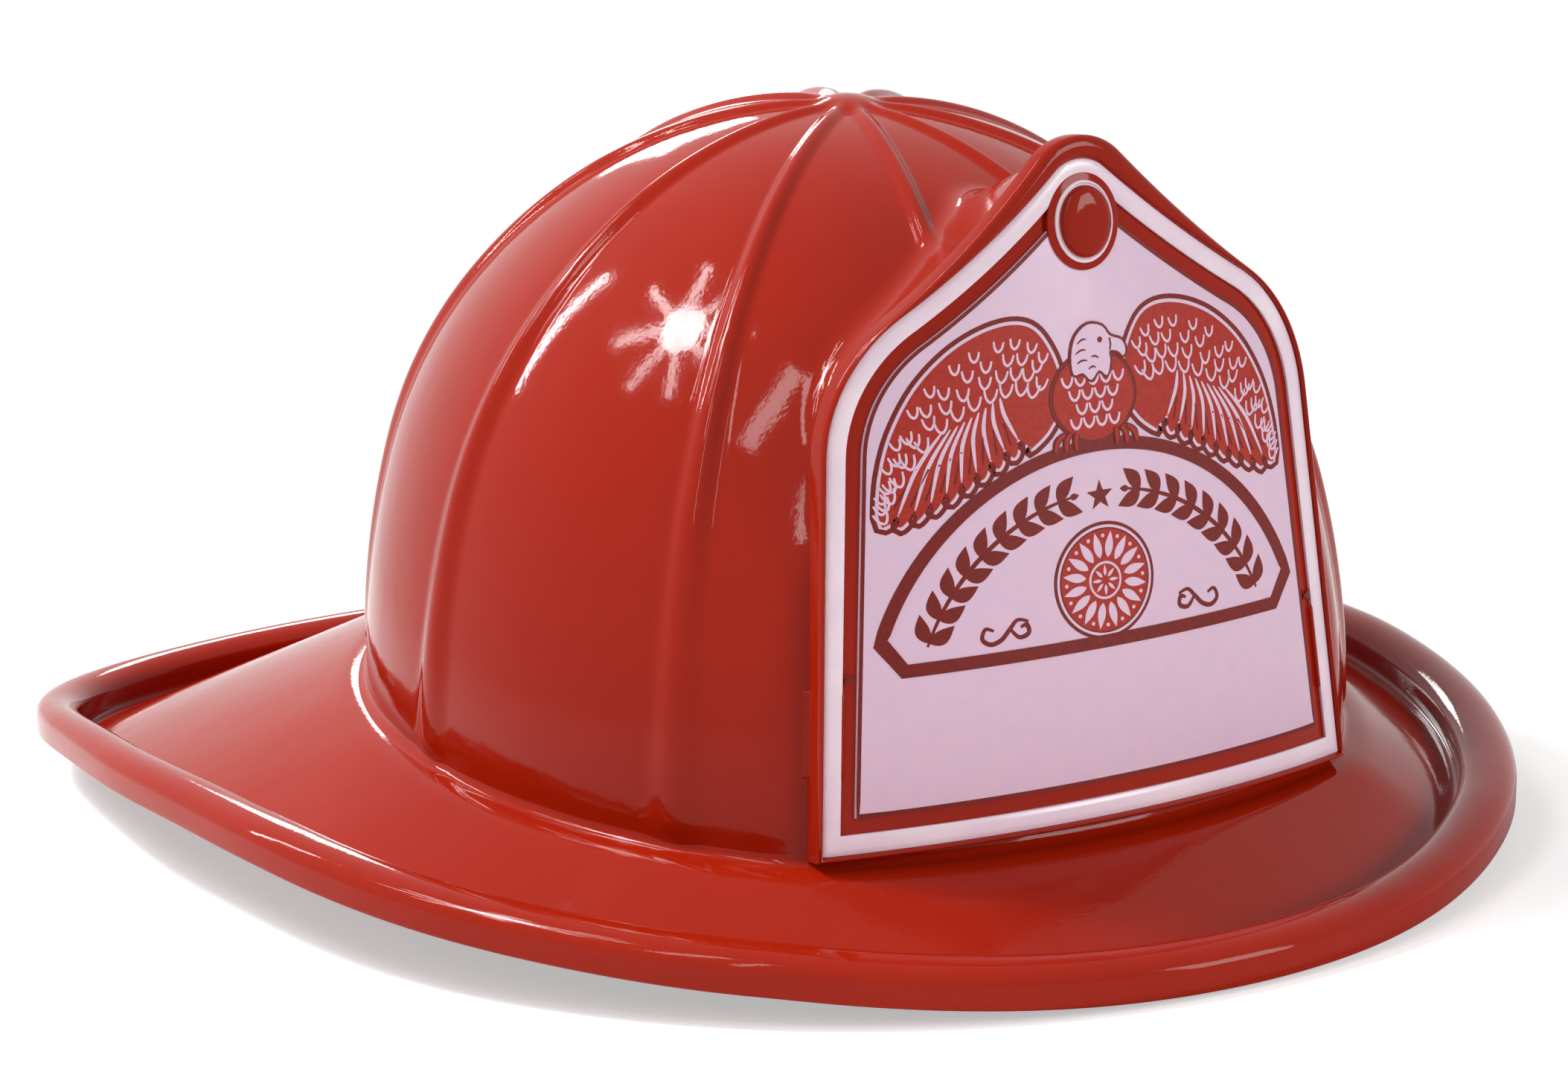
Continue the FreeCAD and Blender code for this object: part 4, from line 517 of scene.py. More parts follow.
def hood_distance(aim):
    """Distance at which a direction leaves the hood for the last time; 0 if it misses it."""
    steps = np.arange(70, 176, HOOD_STEP)
    inside = np.empty((len(steps), len(aim)))
    for index, step in enumerate(steps):
        away = aim * step - FOOT
        depth = (away @ BACK + PLATE_BACK) / (HOOD_DEPTH + PLATE_BACK)
        scale = 1 + (NARROWING - 1) * depth
        inside[index] = scale * hood_outline.inside(
            away[:, 0] / scale, (away @ UP - FOCUS) / scale + FOCUS)
    leaves = (inside[:-1] > 0) & (inside[1:] <= 0)
    last = len(steps) - 2 - leaves[::-1].argmax(0)
    column = np.arange(len(aim))
    here, there = inside[last, column], inside[last + 1, column]
    reach = steps[last] + HOOD_STEP * here / np.maximum(here - there, 1e-9)
    return np.where(leaves.any(0) & (aim[:, 1] < -0.05), reach, 0)


def soft_max(one, two, width):
    """The larger of two distances, blended where they differ by less than the width."""
    return np.maximum(one, two) + np.maximum(width - np.abs(one - two), 0) ** 2 / (4 * width)


def soft_min(one, two, width):
    return -soft_max(-one, -two, width)


# %% [markdown]
# Ten ribs run up the crown. Near the base each is a broad, low swelling; higher up it gets
# narrower and crisper until it meets the button on top. A rib is a rise of the same sheet,
# so it is added to the distances, with a profile that leaves the crown without a crease.

# %% Ribs and button
RIBS_APART = math.radians(36)
BUTTON_RISE, BUTTON_RADIUS = 2.4, 9.5


def rib_rise(turn, climb, flat):
    """Height of the ribs: turn round the crown, climb from 0 at the base to 1 at the top."""
    from_first = turn - RIBS_APART / 2
    nearest = np.round(from_first / RIBS_APART) * RIBS_APART
    across = flat * np.abs(np.sin(from_first - nearest))
    half = np.interp(climb, [0, 0.3, 0.6, 1], [8.0, 5.6, 3.7, 2.6])
    high = np.interp(climb, [0, 0.08, 0.35, 0.7, 0.93, 1], [1.2, 1.5, 1.9, 1.9, 1.5, 0.9])
    shape = np.clip(1 - (across / half) ** 2, 0, 1)
    return high * shape ** 1.6


def outside(aim, turn, details):
    """Distance to the shell's outer skin above the brim; details are ribs and button."""
    reach, normal = crown_distance(aim)
    if details:
        point = aim * reach[:, None]
        flat = np.hypot(point[:, 0] / SQUEEZE, point[:, 1])
        climb = np.clip(np.arctan2(point[:, 2], flat) / (math.pi / 2), 0, 1)
        button = BUTTON_RISE * np.clip(1 - (flat / BUTTON_RADIUS) ** 2, 0, 1) ** 0.75
        rise = soft_max(rib_rise(turn, climb, flat), button, 0.8)
        reach = reach + rise / np.maximum((normal * aim).sum(1), 0.4)
    reach = soft_max(reach, hood_distance(aim), 7.0)
    return soft_min(reach, front_distance(aim), 2.0)


# %% [markdown]
# Below the crown the sheet follows a section: a short ledge round the foot of the crown,
# the sloping floor of the brim, up the inside of the rim, over its rounded top, down to
# the lip, and back underneath one wall thinner. The brim's edge is read from the packed
# shell as its reach in every direction, smoothed with a few cosine waves.

# %% Brim edge
WAVES, BELOW_CROWN, BIN = 15, -2, math.radians(2.5)
shell_points = np.array([v.co for v in frame["nodes"]["shell"].data.vertices]) / MM
rim_points = shell_points[shell_points[:, 2] < BELOW_CROWN]
rim_turn = np.arctan2(-rim_points[:, 0], -rim_points[:, 1])
rim_reach = np.hypot(rim_points[:, 0], rim_points[:, 1])
bins = np.round(np.abs(rim_turn) / BIN).astype(int)
edge_turn, edge_reach = [], []
for number in range(bins.max() + 1):
    mine = np.flatnonzero(bins == number)
    if len(mine):
        best = mine[rim_reach[mine].argmax()]
        edge_turn.append(abs(rim_turn[best]))
        edge_reach.append(rim_reach[best])
waves = np.cos(np.outer(edge_turn, range(WAVES)))
wave_heights = np.linalg.lstsq(waves, np.array(edge_reach), rcond=None)[0]
edge_error = float(np.abs(waves @ wave_heights - edge_reach).max())
print("brim edge error:", round(edge_error, 2), "mm")


def brim_edge(turn):
    return np.cos(np.outer(turn, range(WAVES))) @ wave_heights


# %% Section of the brim
RIM_HALF, RIM_ARCH, RIM_HEIGHT = 6.25, 4.0, 4.5
LEDGE, LEDGE_DROP = 5, 0.8
GUTTER, GUTTER_DEPTH = 12.5, 9
DROP, SIDE_SLOPE, TAIL_SLOPE = 3.6, 0.139, 0.425


def soften(path, cuts, steps, runs):
    """Round the corners of many sections at once and divide their straight runs."""
    made = [path[:, :1]]
    for corner in range(1, path.shape[1] - 1):
        before = path[:, corner - 1] - path[:, corner]
        after = path[:, corner + 1] - path[:, corner]
        one = np.linalg.norm(before, axis=1)
        two = np.linalg.norm(after, axis=1)
        cut = np.minimum(np.minimum(one, two) * 0.49, cuts[corner])[:, None]
        start = path[:, corner] + before / one[:, None] * cut
        end = path[:, corner] + after / two[:, None] * cut
        from_here = made[-1][:, -1]
        for part in range(1, runs[corner - 1]):
            made.append((from_here + (start - from_here) * part / runs[corner - 1])[:, None])
        bend = steps if cuts[corner] else 0
        for part in range(bend + 1):
            t = part / max(bend, 1)
            made.append(((1 - t) ** 2 * start + 2 * t * (1 - t) * path[:, corner]
                         + t ** 2 * end)[:, None])
    from_here = made[-1][:, -1]
    for part in range(1, runs[-1] + 1):
        made.append((from_here + (path[:, -1] - from_here) * part / runs[-1])[:, None])
    return np.concatenate(made, 1)


def roll(edge, top, sunk, parts):
    """Rounded top of the rim, from its inner wall to its outer wall."""
    bend = np.linspace(0, math.pi, parts)
    reach = edge[:, None] - RIM_HALF - (RIM_HALF - sunk) * np.cos(bend)
    height = top[:, None] - RIM_ARCH + (RIM_ARCH - sunk) * np.sin(bend)
    return np.stack([reach, height], 2)


def brim_sections(turn, foot, high):
    """One section for each direction, from the crown's last row round the rim and back in."""
    edge = brim_edge(turn)
    # 0 from the front to the sides, then up to 1 at the rear, without a kink at either end
    from_rear = np.hypot(math.pi - np.abs(turn), 0.07) - 0.03
    tail_share = 1 - from_rear / (math.pi / 2)
    tail_share = (tail_share + np.hypot(tail_share, 0.04)) / 2
    middle = -DROP - (edge - foot) * (SIDE_SLOPE + (TAIL_SLOPE - SIDE_SLOPE) * tail_share)
    top, low = middle + RIM_HEIGHT, middle - RIM_HEIGHT

    def spot(reach, height):
        return np.stack([reach + 0 * edge, height + 0 * edge], 1)[:, None]

    path = np.concatenate([
        high[:, None], spot(foot, -0.05), spot(foot + LEDGE, -LEDGE_DROP),
        spot(edge - GUTTER, top - GUTTER_DEPTH), roll(edge, top, 0, 13),
        spot(edge, low), spot(edge - WALL, low), roll(edge, top, WALL, 7)[:, ::-1],
        spot(edge - GUTTER + WALL, top - GUTTER_DEPTH - WALL),
        spot(foot + LEDGE, -LEDGE_DROP - WALL), spot(foot - WALL, -WALL),
        spot(foot - WALL, 3.0)], 1)
    # how far each corner is cut back, and into how many parts each straight run is divided
    count = path.shape[1]
    cuts, runs = [0] * count, [1] * (count - 1)
    cuts[1:4], cuts[17:19], cuts[-4:-1] = (2.2, 2.5, 2.6), (0.8, 0.8), (1.5, 1.5, 1.5)
    runs[1], runs[2], runs[count - 4] = 3, 16, 6
    return soften(path, cuts, 4, runs)


# %% [markdown]
# The sheet itself: 360 columns, closer together at the ribs, and rows that run down the
# outside, along the brim section and up the inside, where fewer are enough. Its two long
# edges meet behind, and its two ends close at the top, outside and inside.

# %% Shell sheet
COLUMNS, OUTER_ROWS, INNER_ROWS = 360, 112, 70
share = np.arange(COLUMNS + 1) / COLUMNS * 2 * math.pi
round_turn = share - 0.5 * np.sin(10 * (share - RIBS_APART / 2)) / 10 - math.pi
true_turn = np.arctan2(SQUEEZE * np.sin(round_turn), np.cos(round_turn))
true_turn[0], true_turn[-1] = -math.pi, math.pi
ahead = np.stack([-np.sin(true_turn), -np.cos(true_turn)], 1)


def dome_rows(climbs, details):
    rows = []
    for climb in climbs:
        aim = np.column_stack([math.cos(climb) * ahead,
                               np.full(len(ahead), math.sin(climb))])
        rows.append(aim * outside(aim, round_turn, details)[:, None])
    return rows


almost_up = math.pi / 2 - 1e-4
crown_rows = dome_rows(np.linspace(almost_up, math.radians(2.4), OUTER_ROWS), True)
foot_row = dome_rows([1e-4], False)[0]
high = np.stack([np.hypot(crown_rows[-1][:, 0], crown_rows[-1][:, 1]), crown_rows[-1][:, 2]], 1)
sections = brim_sections(true_turn, np.hypot(foot_row[:, 0], foot_row[:, 1]), high)
brim_rows = [np.column_stack([part[:, :1] * ahead, part[:, 1]])
             for part in sections.transpose(1, 0, 2)[1:]]
print("rows outside, along the brim and inside:", OUTER_ROWS, len(brim_rows), INNER_ROWS)

# %% [markdown]
# The inside follows the outside one wall thinner. A moulder's core can't follow the sharp
# valley between crown and hood, so the inner sheet is smoothed: each place moves towards the
# mean of its neighbours, many times over, but never nearer than a millimetre to the outside.

# %% Inner skin
CORE_GAP, PASSES, THINNEST = WALL * 1.08, 24, 1.0
inner_rows = np.array(dome_rows(np.linspace(math.radians(4), almost_up, INNER_ROWS), False))
outer_reach = np.linalg.norm(inner_rows, axis=2)
reach = outer_reach - CORE_GAP
for _ in range(PASSES):
    sides = np.pad(reach, ((1, 1), (0, 0)), "edge")
    sides = (sides[:-2] + sides[2:]) / 2
    turned_reach = (np.roll(reach[:, :-1], 1, 1) + np.roll(reach[:, :-1], -1, 1)) / 2
    turned_reach = np.hstack([turned_reach, turned_reach[:, :1]])
    reach = np.minimum((2 * reach + sides + turned_reach) / 4, outer_reach - THINNEST)
inner_rows = inner_rows * (reach / outer_reach)[:, :, None]
shell_bm = wrapped(np.array(crown_rows + brim_rows + list(inner_rows)) * MM, 0.004 * MM)
bmesh.ops.dissolve_degenerate(shell_bm, edges=shell_bm.edges, dist=0.001 * MM)
piece("moulded_shell", shell_bm, red, ("shell",), 60)

# %% [markdown]
# ## The frontpiece
# On the real helmet this is a separate plate with a raised edge, pushed into the shell on
# four pegs. Its parts are drawn flat first, as outlines with a depth behind the white face,
# and bent at the end: a flat drawing can be cut, grown and filled with simple operators,
# and one formula then lays every part on the same leaning curve.

# %% From the drawing to the helmet


def bent(u, v, depth):
    """Sideways, up and behind the white face, in millimetres, to a place on the helmet."""
    back = BEND - math.sqrt((BEND - depth) ** 2 - u * u)
    return Vector((FOOT + np.array([u, 0, 0]) + BACK * back + UP * v) * MM)


def bend_all(bm, step=3.0):
    """Cut a flat drawing into narrow strips and lay it on the curve."""
    reach = max(abs(vertex.co.x) for vertex in bm.verts)
    for number in range(-int(reach / step), int(reach / step) + 1):
        bmesh.ops.bisect_plane(bm, geom=bm.verts[:] + bm.edges[:] + bm.faces[:],
                               plane_co=(number * step, 0, 0), plane_no=(1, 0, 0))
    for vertex in bm.verts:
        vertex.co = bent(*vertex.co)


def stacked(levels):
    """Closed solid from outlines (margin, margin at the peak, depth), capped at both ends."""
    rows = []
    for margin, peak_margin, depth in levels:
        points = Ogee(margin, peak_margin).points()
        row = np.column_stack([points, np.full(len(points), depth)])
        rows.append(np.vstack([row, row[:1]]))
    bm = wrapped(rows, 0.001)
    fill_ends(bm)
    bend_all(bm)
    return bm


PLATE, PLATE_PEAK, PLATE_INNER, PLATE_PROUD = 1.1, 4.8, 0.06, 1.3
levels = [(PLATE, PLATE_PEAK, PLATE_BACK), (PLATE, PLATE_PEAK, 0.0)]
for part in range(9):
    bend = math.pi * part / 8
    inwards = (1 - math.cos(bend)) / 2
    levels.append((PLATE + (PLATE_INNER - PLATE) * inwards,
                   PLATE_PEAK + (PLATE_INNER - PLATE_PEAK) * inwards,
                   -PLATE_PROUD * math.sin(bend)))
levels.append((PLATE_INNER, PLATE_INNER, 0.8))
piece("frontpiece_plate", stacked(levels), red, ("frontpiece",))

# %% [markdown]
# ## White border and face
# Both are thin inlays. The border is a narrow band that follows the ogee and the face fills
# the middle, with a red groove between them. Where the oval stud sits, the stud's bed covers
# both.

# %% White plastic
paper = Finish("white_face", Specular_IOR_Level=0.45)
mottle = paper.noise(260.0, 4.0)
tint = paper.ramp(mottle, 0.40, (222, 191, 214), 0.60, (225, 193, 213))
paper.feed(Base_Color=tint, Normal=paper.bump(paper.noise(700.0, 2.0), 0.00004, 0.5))
paper.shader.inputs["Roughness"].default_value = 0.34
edge_white = Finish("white_border", Specular_IOR_Level=0.5, Roughness=0.22)
border_tone = edge_white.ramp(edge_white.noise(70.0), 0.4, (236, 214, 228), 0.7, (244, 226, 234))
edge_white.feed(Base_Color=border_tone,
                Normal=edge_white.bump(edge_white.noise(60.0, 2.0), 0.0002, 0.4))

# %% Border and face
border_levels = ((0.0, 0.75), (0.0, 0.0), (-0.35, -0.22), (-1.2, -0.34), (-2.8, -0.34),
                 (-3.65, -0.22), (-4.0, 0.0), (-4.0, 0.75), (0.0, 0.75))
face_levels = ((-7.3, 0.75), (-7.3, 0.18), (-7.45, 0.05), (-7.7, 0.0))
for name, levels, finish, node in (
        ("frontpiece_border", border_levels, edge_white, "shield_border"),
        ("frontpiece_face", face_levels, paper, "shield_face")):
    piece(name, stacked([(margin, margin, depth) for margin, depth in levels]), finish,
          (node,))

# %% [markdown]
# ## The stud
# An oval stud sits in the peak, with a pale line round it and a red bed under it. The bed
# hides where the border and the face would run into the stud. Each is a disc from a circle
# operator, stretched to its oval, then pulled up ring by ring to a low dome.

# %% Stud, its ring and its bed
STUD_HEIGHT = 127.3


def oval_dome(wide, high, levels):
    """Closed dome; levels are (share of the oval, depth), from the back to the middle."""
    bm = bmesh.new()
    start = bmesh.ops.create_circle(bm, cap_ends=False, segments=64, radius=1)
    ring = bm.edges[:]
    bmesh.ops.holes_fill(bm, edges=ring, sides=0)
    for vertex in start["verts"]:
        vertex.co = (vertex.co.x * wide, vertex.co.y * high, levels[0][1])
    here = levels[0][0]
    for share, depth in levels[1:]:
        ring, moved = pulled(bm, ring)
        for vertex in moved:
            vertex.co.x *= share / here
            vertex.co.y *= share / here
            vertex.co.z = depth
        here = share
    bmesh.ops.holes_fill(bm, edges=ring, sides=0)
    for vertex in bm.verts:
        vertex.co.y += STUD_HEIGHT
        vertex.co = bent(*vertex.co)
    return bm


bed_levels = [(1, 0.6), (1, -0.40), (0.97, -0.5), (0.2, -0.5)]
line_levels = [(1, -0.3), (1, -0.8), (0.985, -0.95), (0.96, -1.0), (0.93, -0.95), (0.92, -0.8),
               (0.2, -0.8)]
dome_levels = [(1, -0.5), (1, -1.2), (0.985, -1.7), (0.94, -2.2), (0.84, -2.6), (0.68, -2.85),
               (0.45, -2.97), (0.2, -3.0), (0.02, -3.0)]
piece("stud_bed", oval_dome(8.5, 9.9, bed_levels), red)
piece("stud_line", oval_dome(6.9, 8.4, line_levels), edge_white, ("stud_ring",), 60)
piece("stud_dome", oval_dome(5.9, 7.4, dome_levels), red, ("peak_stud",), 60)

# %% [markdown]
# ## The print
# The face carries a stamped ornament in two reds: a bird with spread wings above an arched
# panel with a wheel, a star and sprigs, and the dark red also paints shade in a line round the
# edge of the face. All of it is drawn here by rule, as strokes and filled outlines on the flat
# drawing. Each layer stands a few hundredths of a millimetre above the one below it, as
# hot-stamped foil does, so a later layer covers an earlier one.

# %% Drawing tools
INK_FOOT, INK_FIRST, INK_LAYER = 0.04, -0.05, 0.045


def ways_along(line, closed):
    """Unit directions along a line, and the points before and after each of its points."""
    before, after = np.roll(line, 1, 0), np.roll(line, -1, 0)
    if not closed:
        before[0], after[-1] = line[0], line[-1]
    way = after - before
    return way / np.maximum(np.linalg.norm(way, axis=1), 1e-9)[:, None], before, after


class Drawing:
    """Flat shapes of one colour, each a closed plate with its own layer."""

    def __init__(self):
        self.bm = bmesh.new()

    def fill(self, points, layer=0):
        corners = [self.bm.verts.new((u, v, INK_FOOT)) for u, v in points]
        base = self.bm.faces.new(corners)
        base.normal_update()
        out = bmesh.ops.extrude_face_region(self.bm, geom=[base], use_keep_orig=True)["geom"]
        for item in out:
            if isinstance(item, bmesh.types.BMVert):
                item.co.z = INK_FIRST - INK_LAYER * layer

    def stroke(self, points, width, layer=0, taper=0.0):
        """Band of one width along an open line; taper narrows its ends."""
        line = np.array(points, float)
        way = ways_along(line, False)[0]
        share = np.arange(len(line)) / (len(line) - 1)
        half = width / 2 * (1 - taper * np.abs(2 * share - 1) ** 2)[:, None]
        side = np.column_stack([-way[:, 1], way[:, 0]]) * half
        self.fill(np.vstack([line + side, (line - side)[::-1]]), layer)

    def ring(self, points, width, layer=0):
        """Band of one width along a closed line, with its corners mitred."""
        line = np.array(points, float)
        way, before, after = ways_along(line, True)
        one, two = before - line, after - line
        one /= np.linalg.norm(one, axis=1)[:, None]
        two /= np.linalg.norm(two, axis=1)[:, None]
        half_turn = np.sqrt(np.clip((1 - (one * two).sum(1)) / 2, 0.2, 1))[:, None]
        side = np.column_stack([-way[:, 1], way[:, 0]]) / half_turn * (width / 2)
        top = INK_FIRST - INK_LAYER * layer
        grid = [[self.bm.verts.new((u, v, depth)) for u, v in line + side * sign]
                for sign, depth in ((1, INK_FOOT), (1, top), (-1, top), (-1, INK_FOOT))]
        for near, far in zip(grid, grid[1:] + grid[:1]):
            for here in range(len(line)):
                there = (here + 1) % len(line)
                self.bm.faces.new((near[here], near[there], far[there], far[here]))

    def finish(self, name, finish):
        self.bm.normal_update()
        bend_all(self.bm, 4.0)
        piece(name, self.bm, finish, crisp=40)


def heading(degrees):
    turn = math.radians(degrees)
    return np.array([math.cos(turn), math.sin(turn)])


def sided(points, side):
    """The points themselves for side 1, and their mirror image for side -1."""
    return np.array(points, float) * np.array([side, 1])


def arc_points(centre, radius, start, end, count):
    turns = np.radians(np.linspace(start, end, count))
    return np.array(centre) + radius * np.column_stack([np.cos(turns), np.sin(turns)])


def smooth(points, parts=6, closed=False):
    """Points along a soft curve through the given ones."""
    points = np.array(points, float)
    count = len(points)
    made = []
    for index in range(count if closed else count - 1):
        a, b, c, d = (points[(index + k) % count] if closed
                      else points[min(max(index + k, 0), count - 1)] for k in (-1, 0, 1, 2))
        for part in range(parts):
            t = part / parts
            made.append(0.5 * (2 * b + (c - a) * t + (2 * a - 5 * b + 4 * c - d) * t ** 2
                               + (3 * b - a - 3 * c + d) * t ** 3))
    if not closed:
        made.append(points[-1])
    return np.array(made)


def grown(points, margin):
    """Closed outline moved outwards by a margin."""
    line = np.array(points, float)
    way, _, after = ways_along(line, True)
    area = (line[:, 0] * after[:, 1] - line[:, 1] * after[:, 0]).sum()
    side = np.column_stack([way[:, 1], -way[:, 0]]) * (1 if area > 0 else -1)
    return line + side * margin


def leaf(base, tip, width, bow=0.0):
    """Pointed oval from base to tip, bowed to one side."""
    base, tip = np.array(base, float), np.array(tip, float)
    run = tip - base
    side = leftwards(run) / np.linalg.norm(run)
    t = np.linspace(0, 1, 10)
    line = base + np.outer(t, run) + np.outer(np.sin(math.pi * t) * bow, side)
    half = np.outer(np.sin(math.pi * t ** 0.8) * width / 2, side)
    return np.vstack([line + half, (line - half)[-2:0:-1]])


dark, bright, pale_ink = Drawing(), Drawing(), Drawing()

# %% Panel, star and sprigs
ARCH, SPRIG = np.array([0, 28]), 44.0
panel = np.vstack([arc_points(ARCH, 53.5, 20.8, 159.2, 60), [(-45.5, 40.8)],
                   np.column_stack([np.linspace(-38, 38, 12), np.full(12, 40.8)]),
                   [(45.5, 40.8)]])
dark.ring(panel, 2.7, 3)
# This dark line round the edge of the face is painted shade where the face meets the red groove.
dark.ring(Ogee(-7.7).points(), 0.75)
dark.fill([heading(90 - 36 * k) * (3.3, 1.35)[k % 2] + (0, 71) for k in range(10)])
scroll = [(18.5, 47.6), (20.9, 48.2), (22.7, 46.6), (24.7, 44.6), (27.1, 43.9), (28.9, 45.2),
          (28.1, 47.2), (26.3, 46.6)]
tail_scroll = [(22.7, 46.6), (20.8, 44.6), (18.6, 45.2), (18.9, 47.0), (20.3, 46.6)]
for side in (1, -1):
    dark.stroke(arc_points(ARCH, SPRIG, 90 - side * 67, 90 - side * 9, 24), 1.0, taper=0.5)
    for number in range(9):
        outwards = heading(90 - side * (66 - number * 6.6))
        knot, along = ARCH + SPRIG * outwards, leftwards(outwards) * side
        for lift in (1, -1):
            way = along * 5.0 + outwards * lift * 3.9
            dark.fill(leaf(knot, knot + way, 3.1, bow=0.5 * lift * -side))
    outwards = heading(90 - side * 7.5)
    knot, along = ARCH + SPRIG * outwards, leftwards(outwards) * side
    dark.fill(leaf(knot - along * 1.5, knot + along * 0.8, 1.4))
    for line in (scroll, tail_scroll):
        dark.stroke(smooth(sided(line, side), 5), 1.0, taper=0.45)

# %% Wheel
WHEEL, SPOKES = np.array([0, 53.4]), 16
dark.fill(arc_points(WHEEL, 12.2, 0, 357, 60))
pale_ink.ring(arc_points(WHEEL, 11.2, 0, 356, 56), 0.55, 1)
bright.fill(arc_points(WHEEL, 10.6, 0, 357, 52), 1)
for number in range(SPOKES):
    way = heading((number + 0.5) * 360 / SPOKES)
    pale_ink.fill(leaf(WHEEL + way * 4.7, WHEEL + way * 10.2, 1.9), 2)
    spot = WHEEL + heading(number * 360 / SPOKES) * 9.3
    pale_ink.fill(arc_points(spot, 0.42, 0, 315, 8), 2)
pale_ink.ring(arc_points(WHEEL, 3.7, 0, 345, 24), 0.5, 2)
for number in range(8):
    way = heading(number * 45)
    pale_ink.fill(leaf(WHEEL + way * 0.9, WHEEL + way * 3.2, 0.7), 2)
print("wheel spokes:", SPOKES)

# %% [markdown]
# The bird is the plain heraldic kind: two wings, each with one outline whose lower edge is
# scalloped by the tips of its long feathers, and pale strokes between the feathers. Shorter
# rows of scallops cover the upper half of the wing, and the breast has the same pattern.

# %% Wings
wing_top = smooth([(7.5, 95.5), (9.5, 101.5), (13.0, 106.6), (18.0, 108.3), (25.0, 107.2),
                   (32.5, 103.6), (39.5, 97.4), (44.8, 89.0), (47.6, 80.5), (48.6, 73.0)], 5)
tips = np.array([(48.0, 70.6), (44.4, 70.2), (40.8, 71.2), (37.2, 72.6), (33.6, 74.2),
                 (30.0, 76.0), (26.4, 77.8), (22.8, 79.6), (19.2, 81.4), (15.4, 83.2)])
wrist = np.array([25.0, 103.0])
feathers, under = [], []
for first, second in zip(tips, tips[1:]):
    middle = (first + second) / 2
    inward = wrist - middle
    notch = middle + inward / np.linalg.norm(inward) * 3.0
    feathers.append((notch, middle + inward * 0.56))
    under += [first, first + (second - first) * 0.28 + (notch - middle) * 0.25, notch,
              second + (first - second) * 0.18 + (notch - middle) * 0.3]
under = smooth(under + [tips[-1]], 3)
wing = np.vstack([wing_top, under, smooth([(15.4, 82.6), (11.5, 85.5), (8.0, 90.0)], 4)])


def scale_cup(row, share, place):
    """One small scallop of the upper wing; place runs from the wing's tip to the breast."""
    low = tips[0] + (tips[-1] - tips[0]) * place
    index = min(int((1 - place * 0.86) * (len(wing_top) - 1)), len(wing_top) - 1)
    spot = wing_top[index] + (low - wing_top[index]) * share
    size = 1.45 - 0.12 * row
    way = (low - wing_top[index]) / np.linalg.norm(low - wing_top[index])
    across = leftwards(way)
    return smooth([spot - across * size - way * size, spot - across * size * 0.7 + way * 0.3,
                   spot + way * size * 0.9, spot + across * size * 0.7 + way * 0.3,
                   spot + across * size - way * size], 3)


for side in (1, -1):
    dark.ring(sided(grown(wing, 1.25), side), 1.0)
    bright.fill(sided(wing, side), 1)
    for start, end in feathers:
        bend_point = (start + end) / 2 + np.array([0.9, 0.7])
        pale_ink.stroke(sided(smooth([start, bend_point, end], 5), side), 0.85, 2, taper=0.7)
    for tip in tips[:-1]:
        quill = tip + (wrist - tip) * np.array([[0.12], [0.34]])
        dark.stroke(sided(quill, side), 0.45, 2)
    for row, (share, count) in enumerate(((0.47, 12), (0.36, 12), (0.25, 11), (0.14, 11))):
        for number in range(count):
            cup = scale_cup(row, share, (number + 0.5 * (row % 2) + 0.3) / count)
            pale_ink.stroke(sided(cup, side), 0.55, 2, taper=0.3)
print("feathers on a wing:", len(feathers))

# %% Body, head and feet
breast = smooth([(0, 99.5), (5.5, 99.0), (9.0, 95.0), (9.6, 90.0), (7.0, 85.6), (3.2, 83.2),
                 (0, 82.6), (-3.2, 83.2), (-7.0, 85.6), (-9.6, 90.0), (-9.0, 95.0),
                 (-5.5, 99.0)], 4, closed=True)
dark.fill(grown(breast, 0.9), 3)
bright.fill(breast, 4)
for row in range(4):
    for number in range(-2 + row % 2, 3):
        spot = np.array([(number - 0.5 * (row % 2)) * 3.1, 95.0 - row * 2.9])
        if abs(spot[0]) < 8 - row * 0.9:
            cup = [spot + (-1.3, 1.2), spot + (-0.9, -0.2), spot + (0, -0.9), spot + (0.9, -0.2),
                   spot + (1.3, 1.2)]
            pale_ink.stroke(smooth(cup, 3), 0.6, 5, taper=0.3)
head = smooth([(-4.6, 96.5), (-4.9, 100.5), (-3.6, 104.2), (-0.6, 106.3), (2.8, 105.6),
               (4.6, 103.4), (7.4, 102.2), (8.3, 100.2), (7.7, 98.9), (6.4, 100.0),
               (4.3, 100.3), (4.4, 98.2), (3.4, 95.4), (1.5, 96.7), (-0.5, 94.9),
               (-2.4, 96.6)], 3, closed=True)
dark.fill(grown(head, 0.55), 6)
pale_ink.fill(head, 7)
dark.fill(arc_points((2.1, 102.9), 0.62, 0, 330, 12), 8)
dark.stroke([(4.5, 103.0), (4.7, 101.6), (4.4, 100.5)], 0.4, 8)
for start, end in (((-3.4, 102.6), (-1.2, 103.4)), ((-3.9, 100.6), (-1.4, 101.2)),
                   ((-3.7, 98.6), (-1.2, 99.0)), ((-0.2, 99.6), (1.6, 99.2)),
                   ((-1.0, 97.2), (0.8, 97.4))):
    middle = (np.array(start) + end) / 2 + (0, 0.35)
    dark.stroke(smooth([start, middle, end], 3), 0.42, 8, taper=0.6)
for side in (1, -1):
    for number in range(3):
        toe = smooth([(side * (4.6 + number * 1.5), 84.6), (side * (5.0 + number * 2.2), 83.2),
                      (side * (4.9 + number * 2.5), 81.0)], 4)
        dark.stroke(toe, 1.5, 6, taper=0.4)
        bright.stroke(toe, 0.8, 7, taper=0.5)
for side in (1, -1):
    dark.fill([(side * 57.4, 41.6), (side * 55.4, 40.3), (side * 57.5, 39.0)])
